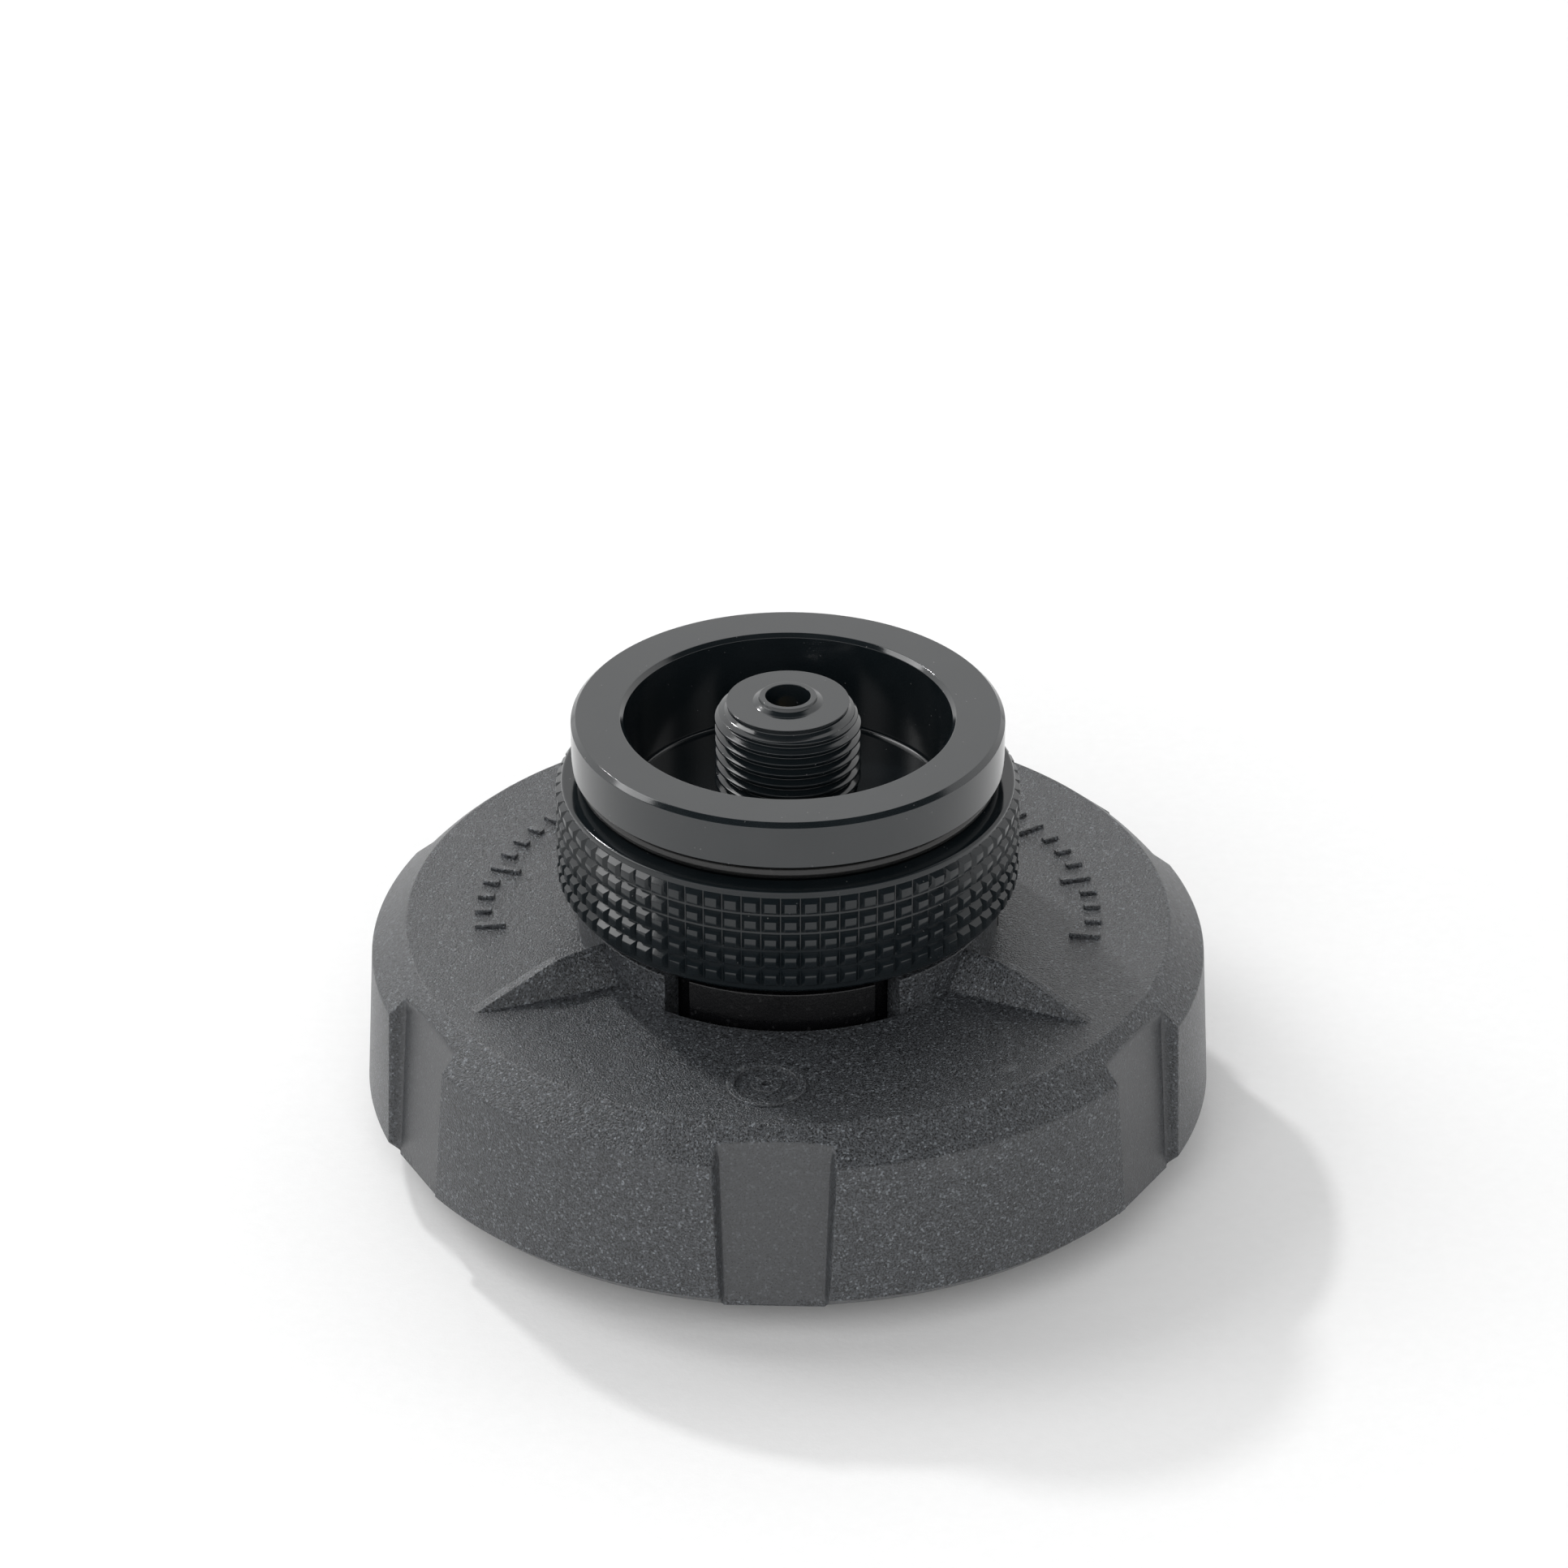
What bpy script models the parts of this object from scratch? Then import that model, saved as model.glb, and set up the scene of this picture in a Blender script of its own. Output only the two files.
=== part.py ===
"""Gas canister adapter with a swivelling hand wheel, as separate solids in metres, +Z up.

The adapter screws down onto the threaded outlet of a small propane cylinder and offers the threaded
stub and rim of a camping canister on top. The metal head (cup, stub, knurled ring, stem) stays still
in the hand while the plastic wheel and the threaded socket inside it turn freely round it. A
spring-loaded valve pin closes the stub. The origin is on the axis, at the socket's lower face.
"""
from math import cos, pi, radians, sin

import bmesh
import bpy

# Driving dimensions, in metres. Heights are measured from the face that the adapter stands on.
GAP = 0.0003                    # clearance kept between touching pieces
PAST = 0.0010                   # how far a cutter, or a piece that is joined on, runs past the surface
CHAMFER = 0.0005                # broken edges of the larger turned pieces
SMALL_CHAMFER = 0.0003          # and of the smaller ones
FINE = 72                       # facets round the wheel
ROUND = 48                      # facets round the metal pieces
HIDDEN = 36                     # facets round the seals and washers
SMALL = 24                      # facets round the valve's inner pieces
TINY = 16                       # facets round the screws and their holes

# Hand wheel
SKIRT_Z = 0.0040                # the skirt's lower edge
SKIRT_R = 0.03277
SKIRT_FOOT_R = 0.03177
SKIRT_FOOT_H = 0.0010
SHOULDER_R = 0.03216
SHOULDER_Z = 0.01617
TOP_R = 0.02948
TOP_Z = 0.01852
DISH_Z = 0.01810                # the top is slightly dished towards the collar
COLLAR_R = 0.0162
COLLAR_Z = 0.02105
COLLAR_BORE_R = 0.0144
PLATE_UNDER_Z = 0.0146
SKIRT_INNER_TOP_R = 0.0284
SKIRT_INNER_FOOT_R = 0.0291
THREEFOLD = [radians(a) for a in (0, 120, 240)]

# Grip recesses round the skirt
GRIPS = 6
GRIP_HALF_TOP = 0.00425
GRIP_HALF_FOOT = 0.00380
GRIP_FLOOR_TOP_R = 0.0307
GRIP_FLOOR_FOOT_R = 0.03177
GRIP_WALL_SPREAD = 0.27         # sideways opening of a wall per unit of depth
GRIP_CUT_RISE = 1.4             # the cutter's height over the skirt's
GRIP_CUT_OUT = 0.0030           # how far it reaches out of the skirt

# Ribs on top and webs underneath
RIB_ANGLES = [radians(a) for a in (-57.5, 57.5, 180)]
RIB_ROOT_R = 0.0152
RIB_BEND_R = 0.0206
RIB_TIP_R = 0.0276
RIB_ROOT_HALF = 0.0020
RIB_TIP_HALF = 0.00045
RIB_CREST_HALF = 0.00045
RIB_CREST_DROP = 0.0002         # the rib's top below the collar's
RIB_TIP_DROP = 0.0001           # the rib's tip below the wheel's top
WEB_ROOT_R = 0.0229
WEB_DEPTH = 0.0040
WEB_THICKNESS = 0.0016

# Windows through the collar, and the lugs that carry the torque in them
WINDOW_HALF = radians(33)
WINDOW_CLEAR = 0.00005          # the cutter's reach past the collar's outer wall
LUG_HALF = radians(27)
LUG_R = 0.0155

# Threaded socket
SOCKET_R = 0.0160
SOCKET_THREAD_R = 0.0123        # mean radius of the 1 inch, 20 to the inch thread
SOCKET_FLANGE_R = 0.0225
SOCKET_FLANGE_Z = 0.0122
SOCKET_SHOULDER_Z = 0.0150
SOCKET_TOP_Z = 0.0209
LUG_TOP_DROP = 0.0001           # the lugs' top below the hub's
STEM_HOLE_R = 0.0092

# Socket screws
SCREW_CIRCLE_R = 0.0192
SCREW_HEAD_R = 0.0021
SCREW_HEAD_H = 0.0015
SCREW_R = 0.0012
SCREW_TOP_Z = 0.0168
SCREW_SLOT = 0.0007
SCREW_SLOT_LENGTH = 0.0026
SCREW_SLOT_DEPTH = 0.0007

# Stem
STEM_R = 0.0089
STEM_TOP_Z = 0.0257
STEM_FLANGE_R = 0.0119
STEM_FLANGE_Z = 0.0110
STEM_FLANGE_TOP_Z = 0.0138
STEM_BORE_R = 0.0032
NOSE_R = 0.0060
NOSE_Z = 0.0082
NOSE_BORE_R = 0.0017
NOSE_BORE_TOP_Z = 0.0130
O_RING_R = 0.0065
O_RING_WIRE = 0.0006

# Pieces round and inside the stem
GASKET_Z = 0.0091
GASKET_MARGIN = 0.0003          # the gasket's rim inside the stem flange's
WASHER_MARGIN = 0.0002          # the lower washer's clearance, all round
UPPER_WASHER_MARGIN = 0.0008    # the upper washer's rim inside the collar's bore
OPENER_Z = 0.0050
OPENER_R = 0.0010
OPENER_TIP_R = 0.0007
OPENER_HEAD_Z = 0.0133
OPENER_HEAD_TOP_Z = 0.0148
FILTER_Z = 0.0152
FILTER_TOP_Z = 0.0174

# Head: cup, knurled ring and neck seal
CUP_R = 0.01646
CUP_Z = 0.03615
CUP_EDGE = 0.00036
CUP_FLANGE_EDGE = 0.00015
CUP_BORE_R = 0.01246
CUP_FLOOR_Z = 0.0284
CUP_FLOOR_UNDER_Z = 0.0260
FLANGE_Z = 0.03244
NECK_R = 0.01480
NECK_Z = 0.0222
RING_R = 0.01771
RING_BORE_R = 0.0151
RING_Z = 0.02207
RING_TOP_Z = 0.03085
RING_EDGE = 0.0005
RING_SHOULDER = 0.0009          # the height of the slope above the knurling
SEAL_WIRE = 0.00055
SEAL_Z = 0.0316

# Stub and the valve inside it
STUB_R = 0.005556               # 7/16 inch, 28 to the inch thread
STUB_TOP_R = 0.00467
STUB_TOP_Z = 0.03731
STUB_NECK_R = 0.00497
STUB_NECK_TOP_Z = 0.03691
STUB_NECK_LOW_Z = 0.03591
STUB_THREAD_TOP_Z = 0.03531
LIP_FOOT_R = 0.0026
LIP_R = 0.00215
LIP_Z = 0.03775
PORT_R = 0.0017
CHAMBER_R = 0.0033
CHAMBER_TOP_Z = 0.0345
SPIGOT_R = 0.0045
SPIGOT_Z = 0.0263
PIN_HEAD_R = 0.0026
PIN_HEAD_Z = 0.0317
PIN_HEAD_H = 0.0012
PIN_TIP_R = 0.0013
PIN_TIP_Z = 0.0352
PIN_TIP_EDGE = 0.0002
PIN_TAIL_R = 0.0008
PIN_TAIL_Z = 0.0268
PLUG_TOP_Z = 0.0275
SPRING_WIRE = 0.00025
SPRING_R = 0.0017
SPRING_TURNS = 3
SPRING_POINTS_A_TURN = 12


def clear_scene():
    for old in list(bpy.data.objects):
        bpy.data.objects.remove(old)


def new_collection(name):
    made = bpy.data.collections.new(name)
    bpy.context.scene.collection.children.link(made)
    return made


def material(name, colour, roughness, metallic):
    made = bpy.data.materials.new(name)
    made.use_nodes = True
    shader = made.node_tree.nodes["Principled BSDF"]
    shader.inputs["Base Color"].default_value = (*colour, 1.0)
    shader.inputs["Roughness"].default_value = roughness
    shader.inputs["Metallic"].default_value = metallic
    return made


def place(name, mesh, home, finish=None):
    made = bpy.data.objects.new(name, mesh)
    home.objects.link(made)
    if finish:
        mesh.materials.append(finish)
    return made


def turned_mesh(name, profile, closed):
    """The (radius, height) profile of a turned piece, as loose edges for a Screw modifier."""
    mesh = bpy.data.meshes.new(name)
    edges = [(i, i + 1) for i in range(len(profile) - 1)]
    if closed:
        edges.append((len(profile) - 1, 0))
    mesh.from_pydata([(r, 0.0, z) for r, z in profile], edges, [])
    return mesh


def turned(name, profile, steps, home, finish=None, closed=True, centre=(0.0, 0.0, 0.0)):
    """Turns a profile round the object's own Z. The outer side runs from top to bottom."""
    made = place(name, turned_mesh(name, profile, closed), home, finish)
    made.location = centre
    screw = made.modifiers.new("Turn", "SCREW")
    screw.steps = steps
    screw.render_steps = steps
    screw.use_smooth_shade = True
    screw.use_merge_vertices = not closed
    screw.merge_threshold = 0.00001
    return made


def tube_profile(r_in, r_out, z_low, z_high):
    return [(r_in, z_high), (r_out, z_high), (r_out, z_low), (r_in, z_low)]


def disc_profile(radius, z_low, z_high):
    return [(0.0, z_high), (radius, z_high), (radius, z_low), (0.0, z_low)]


def round_profile(radius, height, wire, sides=8):
    """The cross-section of an O-ring."""
    angles = [-2 * pi * i / sides for i in range(sides)]
    return [(radius + wire * cos(a), height + wire * sin(a)) for a in angles]


def boolean(target, other, operation):
    made = target.modifiers.new(other.name, "BOOLEAN")
    made.operation = operation
    made.solver = "EXACT"
    made.object = other


def guide(made):
    made.hide_render = True
    made.display_type = "WIRE"
    return made


def block(name, home, corner):
    """A cube mesh whose eight corners are placed by corner(x, y, z), each argument being 0 or 1."""
    mesh = bpy.data.meshes.new(name)
    shape = bmesh.new()
    bmesh.ops.create_cube(shape, size=1.0)
    for vert in shape.verts:
        vert.co = corner(*[int(c > 0) for c in vert.co])
    shape.to_mesh(mesh)
    shape.free()
    return guide(place(name, mesh, home))


def outlined(name, home, outline, thickness):
    """A flat outline in the XZ plane, given its thickness along Y, as a closed mesh."""
    curve = bpy.data.curves.new(name, "CURVE")
    curve.dimensions = "2D"
    curve.fill_mode = "BOTH"
    curve.extrude = thickness / 2
    spline = curve.splines.new("POLY")
    spline.points.add(len(outline) - 1)
    for point, (x, z) in zip(spline.points, outline):
        point.co = (x, z, 0.0, 1.0)
    spline.use_cyclic_u = True
    flat = bpy.data.objects.new(name + "_outline", curve)
    bpy.context.scene.collection.objects.link(flat)
    bpy.context.view_layer.update()
    ready = flat.evaluated_get(bpy.context.evaluated_depsgraph_get())
    mesh = bpy.data.meshes.new_from_object(ready)
    bpy.data.objects.remove(flat)
    shape = bmesh.new()
    shape.from_mesh(mesh)
    bmesh.ops.remove_doubles(shape, verts=shape.verts, dist=0.00001)
    for vert in shape.verts:
        vert.co = (vert.co.x, -vert.co.z, vert.co.y)
    bmesh.ops.recalc_face_normals(shape, faces=shape.faces)
    shape.to_mesh(mesh)
    shape.free()
    return guide(place(name, mesh, home))


def face_front(made, angle):
    """Turns a piece that was made along +X to the given angle from the front, which is -Y."""
    made.rotation_euler.z = angle - pi / 2
    return made


def sector(name, home, half, r_in, r_out, z_low, z_high, steps=12):
    """A wedge of a ring round Z, centred on +X."""
    profile = tube_profile(r_in, r_out, z_low, z_high)
    mesh = bpy.data.meshes.new(name)
    shape = bmesh.new()
    verts = [shape.verts.new((r * cos(-half), r * sin(-half), z)) for r, z in profile]
    first = shape.faces.new(verts)
    bmesh.ops.spin(shape, geom=[first], cent=(0, 0, 0), axis=(0, 0, 1), angle=2 * half, steps=steps)
    bmesh.ops.recalc_face_normals(shape, faces=shape.faces)
    shape.to_mesh(mesh)
    shape.free()
    return guide(place(name, mesh, home))


def wheel_profile():
    return [
        (COLLAR_BORE_R, COLLAR_Z),
        (COLLAR_R, COLLAR_Z),
        (COLLAR_R, DISH_Z),
        (TOP_R, TOP_Z),
        (SHOULDER_R, SHOULDER_Z),
        (SKIRT_R, SKIRT_Z + SKIRT_FOOT_H),
        (SKIRT_FOOT_R, SKIRT_Z),
        (SKIRT_INNER_FOOT_R, SKIRT_Z),
        (SKIRT_INNER_TOP_R, PLATE_UNDER_Z),
        (COLLAR_BORE_R, PLATE_UNDER_Z),
    ]


def grip_corner(x, y, z):
    """Corners of a recess cutter: x runs outwards, y sideways and z up."""
    rise = (SHOULDER_Z - SKIRT_Z) * GRIP_CUT_RISE
    height = SKIRT_Z + z * rise - (1 - z) * PAST
    slope = (GRIP_FLOOR_TOP_R - GRIP_FLOOR_FOOT_R) / (SHOULDER_Z - SKIRT_Z)
    floor_r = GRIP_FLOOR_FOOT_R + slope * (height - SKIRT_Z)
    half = GRIP_HALF_TOP if z else GRIP_HALF_FOOT
    depth = SHOULDER_R - floor_r
    reach = SHOULDER_R + GRIP_CUT_OUT if x else floor_r
    half += GRIP_WALL_SPREAD * (GRIP_CUT_OUT if x else -depth)
    return reach, half * (1 if y else -1), height


def rib(name, home):
    """A tapered rib. Its outline is given a half-width of 1, which is then scaled at each corner."""
    low = DISH_Z - PAST
    crest = COLLAR_Z - RIB_CREST_DROP
    outline = [
        (RIB_ROOT_R, low),
        (RIB_TIP_R, low),
        (RIB_TIP_R, TOP_Z - RIB_TIP_DROP),
        (RIB_BEND_R, crest),
        (RIB_ROOT_R, crest),
    ]
    made = outlined(name, home, outline, 2.0)
    for vert in made.data.vertices:
        along = (vert.co.x - RIB_ROOT_R) / (RIB_TIP_R - RIB_ROOT_R)
        foot = RIB_ROOT_HALF + (RIB_TIP_HALF - RIB_ROOT_HALF) * along
        half = RIB_CREST_HALF if vert.co.z > TOP_Z else foot
        vert.co.y *= half
    return made


def web(name, home):
    def corner(x, y, z):
        reach = SKIRT_INNER_TOP_R + PAST if x else WEB_ROOT_R
        return reach, (y - 0.5) * WEB_THICKNESS, PLATE_UNDER_Z + (PAST if z else -WEB_DEPTH)
    return block(name, home, corner)


def hand_wheel(parts, cutters, finish):
    wheel = turned("hand_wheel", wheel_profile(), FINE, parts, finish)
    for i, angle in enumerate(RIB_ANGLES):
        boolean(wheel, face_front(rib(f"rib_{i}", cutters), angle), "UNION")
    for i in range(GRIPS):
        angle = 2 * pi * i / GRIPS
        boolean(wheel, face_front(web(f"web_{i}", cutters), angle + pi / GRIPS), "UNION")
        boolean(wheel, face_front(block(f"grip_{i}", cutters, grip_corner), angle), "DIFFERENCE")
    for i, angle in enumerate(THREEFOLD):
        low = PLATE_UNDER_Z - PAST
        high = COLLAR_Z + PAST
        cut_r = COLLAR_R + WINDOW_CLEAR
        window = sector(f"window_{i}", cutters, WINDOW_HALF, COLLAR_BORE_R - PAST, cut_r, low, high)
        boolean(wheel, face_front(window, angle), "DIFFERENCE")
    for i, angle in enumerate(RIB_ANGLES):
        spot = (SCREW_CIRCLE_R * sin(angle), -SCREW_CIRCLE_R * cos(angle), 0.0)
        profile = disc_profile(SCREW_R + GAP, PLATE_UNDER_Z - PAST, SCREW_TOP_Z + GAP)
        drill = guide(turned(f"screw_hole_{i}", profile, TINY, cutters, closed=False, centre=spot))
        boolean(wheel, drill, "DIFFERENCE")


def threaded_socket(parts, cutters, finish):
    hub_r = COLLAR_BORE_R - GAP
    flange_top = PLATE_UNDER_Z - GAP
    profile = [
        (STEM_HOLE_R, SOCKET_TOP_Z),
        (hub_r, SOCKET_TOP_Z),
        (hub_r, flange_top),
        (SOCKET_FLANGE_R, flange_top),
        (SOCKET_FLANGE_R, SOCKET_FLANGE_Z),
        (SOCKET_R, SOCKET_FLANGE_Z),
        (SOCKET_R, SMALL_CHAMFER),
        (SOCKET_R - SMALL_CHAMFER, 0.0),
        (SOCKET_THREAD_R + CHAMFER, 0.0),
        (SOCKET_THREAD_R, CHAMFER),
        (SOCKET_THREAD_R, SOCKET_SHOULDER_Z),
        (STEM_HOLE_R, SOCKET_SHOULDER_Z),
    ]
    socket = turned("threaded_socket", profile, ROUND, parts, finish)
    for i, angle in enumerate(THREEFOLD):
        top = SOCKET_TOP_Z - LUG_TOP_DROP
        lug = sector(f"lug_{i}", cutters, LUG_HALF, hub_r - PAST, LUG_R, flange_top - PAST, top)
        boolean(socket, face_front(lug, angle), "UNION")
    for i, angle in enumerate(RIB_ANGLES):
        spot = (SCREW_CIRCLE_R * sin(angle), -SCREW_CIRCLE_R * cos(angle), 0.0)
        profile = disc_profile(SCREW_R + GAP, SOCKET_FLANGE_Z - PAST, flange_top + PAST)
        drill = guide(turned(f"socket_hole_{i}", profile, TINY, cutters, closed=False, centre=spot))
        boolean(socket, drill, "DIFFERENCE")


def socket_screws(parts, cutters, finish):
    head_z = SOCKET_FLANGE_Z - GAP
    low = head_z - SCREW_HEAD_H
    profile = [
        (0.0, SCREW_TOP_Z),
        (SCREW_R, SCREW_TOP_Z),
        (SCREW_R, head_z),
        (SCREW_HEAD_R, head_z),
        (SCREW_HEAD_R, low + SMALL_CHAMFER),
        (SCREW_HEAD_R - SMALL_CHAMFER, low),
        (0.0, low),
    ]
    for i, angle in enumerate(RIB_ANGLES):
        spot = (SCREW_CIRCLE_R * sin(angle), -SCREW_CIRCLE_R * cos(angle), 0.0)
        screw = turned(f"socket_screw_{i + 1}", profile, TINY, parts, finish, closed=False, centre=spot)
        for turn in (0.0, pi / 2):
            def corner(x, y, z):
                height = low + (SCREW_SLOT_DEPTH if z else -PAST)
                return (x - 0.5) * SCREW_SLOT_LENGTH, (y - 0.5) * SCREW_SLOT, height
            cross = block(f"drive_{i}_{turn > 0}", cutters, corner)
            cross.location = spot
            cross.rotation_euler.z = turn
            boolean(screw, cross, "DIFFERENCE")


def swivel_stem(parts, finish):
    groove_in = O_RING_R - O_RING_WIRE - GAP / 2
    groove_out = O_RING_R + O_RING_WIRE + GAP / 2
    groove_z = STEM_TOP_Z - 2 * O_RING_WIRE - GAP / 2
    profile = [
        (STEM_BORE_R, STEM_TOP_Z),
        (groove_in, STEM_TOP_Z),
        (groove_in, groove_z),
        (groove_out, groove_z),
        (groove_out, STEM_TOP_Z),
        (STEM_R, STEM_TOP_Z),
        (STEM_R, STEM_FLANGE_TOP_Z),
        (STEM_FLANGE_R, STEM_FLANGE_TOP_Z),
        (STEM_FLANGE_R, STEM_FLANGE_Z),
        (NOSE_R, STEM_FLANGE_Z),
        (NOSE_R, NOSE_Z + CHAMFER),
        (NOSE_R - CHAMFER, NOSE_Z),
        (NOSE_BORE_R, NOSE_Z),
        (NOSE_BORE_R, NOSE_BORE_TOP_Z),
        (STEM_BORE_R, NOSE_BORE_TOP_Z),
    ]
    turned("swivel_stem", profile, ROUND, parts, finish)


def stem_pieces(parts, rubber, nylon, brass, bronze):
    ring = round_profile(O_RING_R, STEM_TOP_Z - O_RING_WIRE, O_RING_WIRE)
    turned("stem_o_ring", ring, HIDDEN, parts, rubber)
    gasket = tube_profile(NOSE_R + GAP, STEM_FLANGE_R - GASKET_MARGIN, GASKET_Z, STEM_FLANGE_Z - GAP)
    turned("cylinder_gasket", gasket, HIDDEN, parts, rubber)
    low = STEM_FLANGE_TOP_Z + WASHER_MARGIN
    high = SOCKET_SHOULDER_Z - WASHER_MARGIN
    lower = tube_profile(STEM_R + GAP, STEM_FLANGE_R - WASHER_MARGIN, low, high)
    turned("lower_thrust_washer", lower, HIDDEN, parts, nylon)
    upper = tube_profile(STEM_R + GAP, COLLAR_BORE_R - UPPER_WASHER_MARGIN, SOCKET_TOP_Z + GAP, NECK_Z - GAP)
    turned("upper_thrust_washer", upper, HIDDEN, parts, nylon)
    seat_r = STEM_BORE_R - GAP
    opener = [
        (0.0, OPENER_HEAD_TOP_Z),
        (seat_r, OPENER_HEAD_TOP_Z),
        (seat_r, OPENER_HEAD_Z),
        (OPENER_R, OPENER_HEAD_Z),
        (OPENER_R, OPENER_Z + CHAMFER),
        (OPENER_TIP_R, OPENER_Z),
        (0.0, OPENER_Z),
    ]
    turned("opening_pin", opener, SMALL, parts, brass, closed=False)
    turned("gas_filter", disc_profile(seat_r, FILTER_Z, FILTER_TOP_Z), SMALL, parts, bronze, closed=False)


def valve_cup(parts, finish):
    profile = [
        (CUP_BORE_R + SMALL_CHAMFER, CUP_Z),
        (CUP_R - CUP_EDGE, CUP_Z),
        (CUP_R, CUP_Z - CUP_EDGE),
        (CUP_R, FLANGE_Z + CUP_FLANGE_EDGE),
        (CUP_R - CUP_FLANGE_EDGE, FLANGE_Z),
        (NECK_R, FLANGE_Z),
        (NECK_R, NECK_Z),
        (STEM_R + GAP, NECK_Z),
        (STEM_R + GAP, CUP_FLOOR_UNDER_Z),
        (SPIGOT_R + GAP, CUP_FLOOR_UNDER_Z),
        (SPIGOT_R + GAP, CUP_FLOOR_Z),
        (CUP_BORE_R, CUP_FLOOR_Z),
        (CUP_BORE_R, CUP_Z - SMALL_CHAMFER),
    ]
    turned("valve_cup", profile, ROUND, parts, finish)


def knurled_ring(parts, finish):
    profile = [
        (RING_BORE_R, RING_TOP_Z),
        (RING_R - RING_EDGE, RING_TOP_Z),
        (RING_R, RING_TOP_Z - RING_SHOULDER),
        (RING_R, RING_Z + RING_EDGE),
        (RING_R - RING_EDGE, RING_Z),
        (RING_BORE_R, RING_Z),
    ]
    turned("knurled_ring", profile, ROUND, parts, finish)


def neck_seal(parts, finish):
    middle = NECK_R + GAP / 2 + SEAL_WIRE
    turned("neck_seal", round_profile(middle, SEAL_Z, SEAL_WIRE), ROUND, parts, finish)


def threaded_stub(parts, finish):
    profile = [
        (PORT_R, LIP_Z),
        (LIP_R, LIP_Z),
        (LIP_FOOT_R, STUB_TOP_Z),
        (STUB_TOP_R, STUB_TOP_Z),
        (STUB_NECK_R, STUB_NECK_TOP_Z),
        (STUB_NECK_R, STUB_NECK_LOW_Z),
        (STUB_R, STUB_THREAD_TOP_Z),
        (STUB_R, CUP_FLOOR_Z + GAP),
        (SPIGOT_R, CUP_FLOOR_Z + GAP),
        (SPIGOT_R, SPIGOT_Z),
        (CHAMBER_R, SPIGOT_Z),
        (CHAMBER_R, CHAMBER_TOP_Z),
        (PORT_R, CHAMBER_TOP_Z),
    ]
    turned("threaded_stub", profile, ROUND, parts, finish)


def stub_valve(parts, rubber, brass, steel):
    seal_top = CHAMBER_TOP_Z - GAP
    seal = tube_profile(PORT_R, CHAMBER_R - GAP, PIN_HEAD_Z + PIN_HEAD_H + GAP, seal_top)
    turned("stub_seal", seal, SMALL, parts, rubber)
    pin = [
        (0.0, PIN_TIP_Z),
        (PIN_TIP_R - PIN_TIP_EDGE, PIN_TIP_Z),
        (PIN_TIP_R, PIN_TIP_Z - PIN_TIP_EDGE),
        (PIN_TIP_R, PIN_HEAD_Z + PIN_HEAD_H),
        (PIN_HEAD_R, PIN_HEAD_Z + PIN_HEAD_H),
        (PIN_HEAD_R, PIN_HEAD_Z),
        (PIN_TAIL_R, PIN_HEAD_Z),
        (PIN_TAIL_R, PIN_TAIL_Z),
        (0.0, PIN_TAIL_Z),
    ]
    turned("valve_pin", pin, SMALL, parts, brass, closed=False)
    plug = tube_profile(PIN_TAIL_R + GAP, CHAMBER_R - GAP, SPIGOT_Z, PLUG_TOP_Z)
    turned("spring_plug", plug, SMALL, parts, brass)
    valve_spring(parts, steel)


def valve_spring(parts, finish):
    curve = bpy.data.curves.new("valve_spring", "CURVE")
    curve.dimensions = "3D"
    curve.bevel_depth = SPRING_WIRE
    curve.bevel_resolution = 1
    curve.use_fill_caps = True
    low = PLUG_TOP_Z + GAP + SPRING_WIRE
    high = PIN_HEAD_Z - GAP - SPRING_WIRE
    count = SPRING_TURNS * SPRING_POINTS_A_TURN
    spline = curve.splines.new("POLY")
    spline.points.add(count)
    for i, point in enumerate(spline.points):
        angle = 2 * pi * i / SPRING_POINTS_A_TURN
        height = low + (high - low) * i / count
        point.co = (SPRING_R * cos(angle), SPRING_R * sin(angle), height, 1.0)
    made = bpy.data.objects.new("valve_spring", curve)
    parts.objects.link(made)
    curve.materials.append(finish)


def build():
    clear_scene()
    parts = new_collection("gas_adapter")
    cutters = new_collection("cutters")
    plastic = material("wheel_plastic", (0.035, 0.037, 0.040), 0.62, 0.0)
    black = material("black_anodised", (0.014, 0.015, 0.017), 0.28, 0.85)
    socket_black = material("socket_black", (0.012, 0.012, 0.013), 0.55, 0.6)
    steel = material("steel", (0.55, 0.55, 0.56), 0.3, 1.0)
    brass = material("brass", (0.62, 0.45, 0.20), 0.3, 1.0)
    bronze = material("filter_bronze", (0.42, 0.28, 0.14), 0.7, 0.8)
    rubber = material("rubber", (0.012, 0.012, 0.012), 0.5, 0.0)
    nylon = material("black_acetal", (0.030, 0.030, 0.031), 0.45, 0.0)
    hand_wheel(parts, cutters, plastic)
    threaded_socket(parts, cutters, socket_black)
    socket_screws(parts, cutters, steel)
    swivel_stem(parts, brass)
    stem_pieces(parts, rubber, nylon, brass, bronze)
    valve_cup(parts, black)
    knurled_ring(parts, black)
    neck_seal(parts, rubber)
    threaded_stub(parts, black)
    stub_valve(parts, rubber, brass, steel)


build()
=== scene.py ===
from math import cos, hypot, pi, radians, sin, tan

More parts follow.
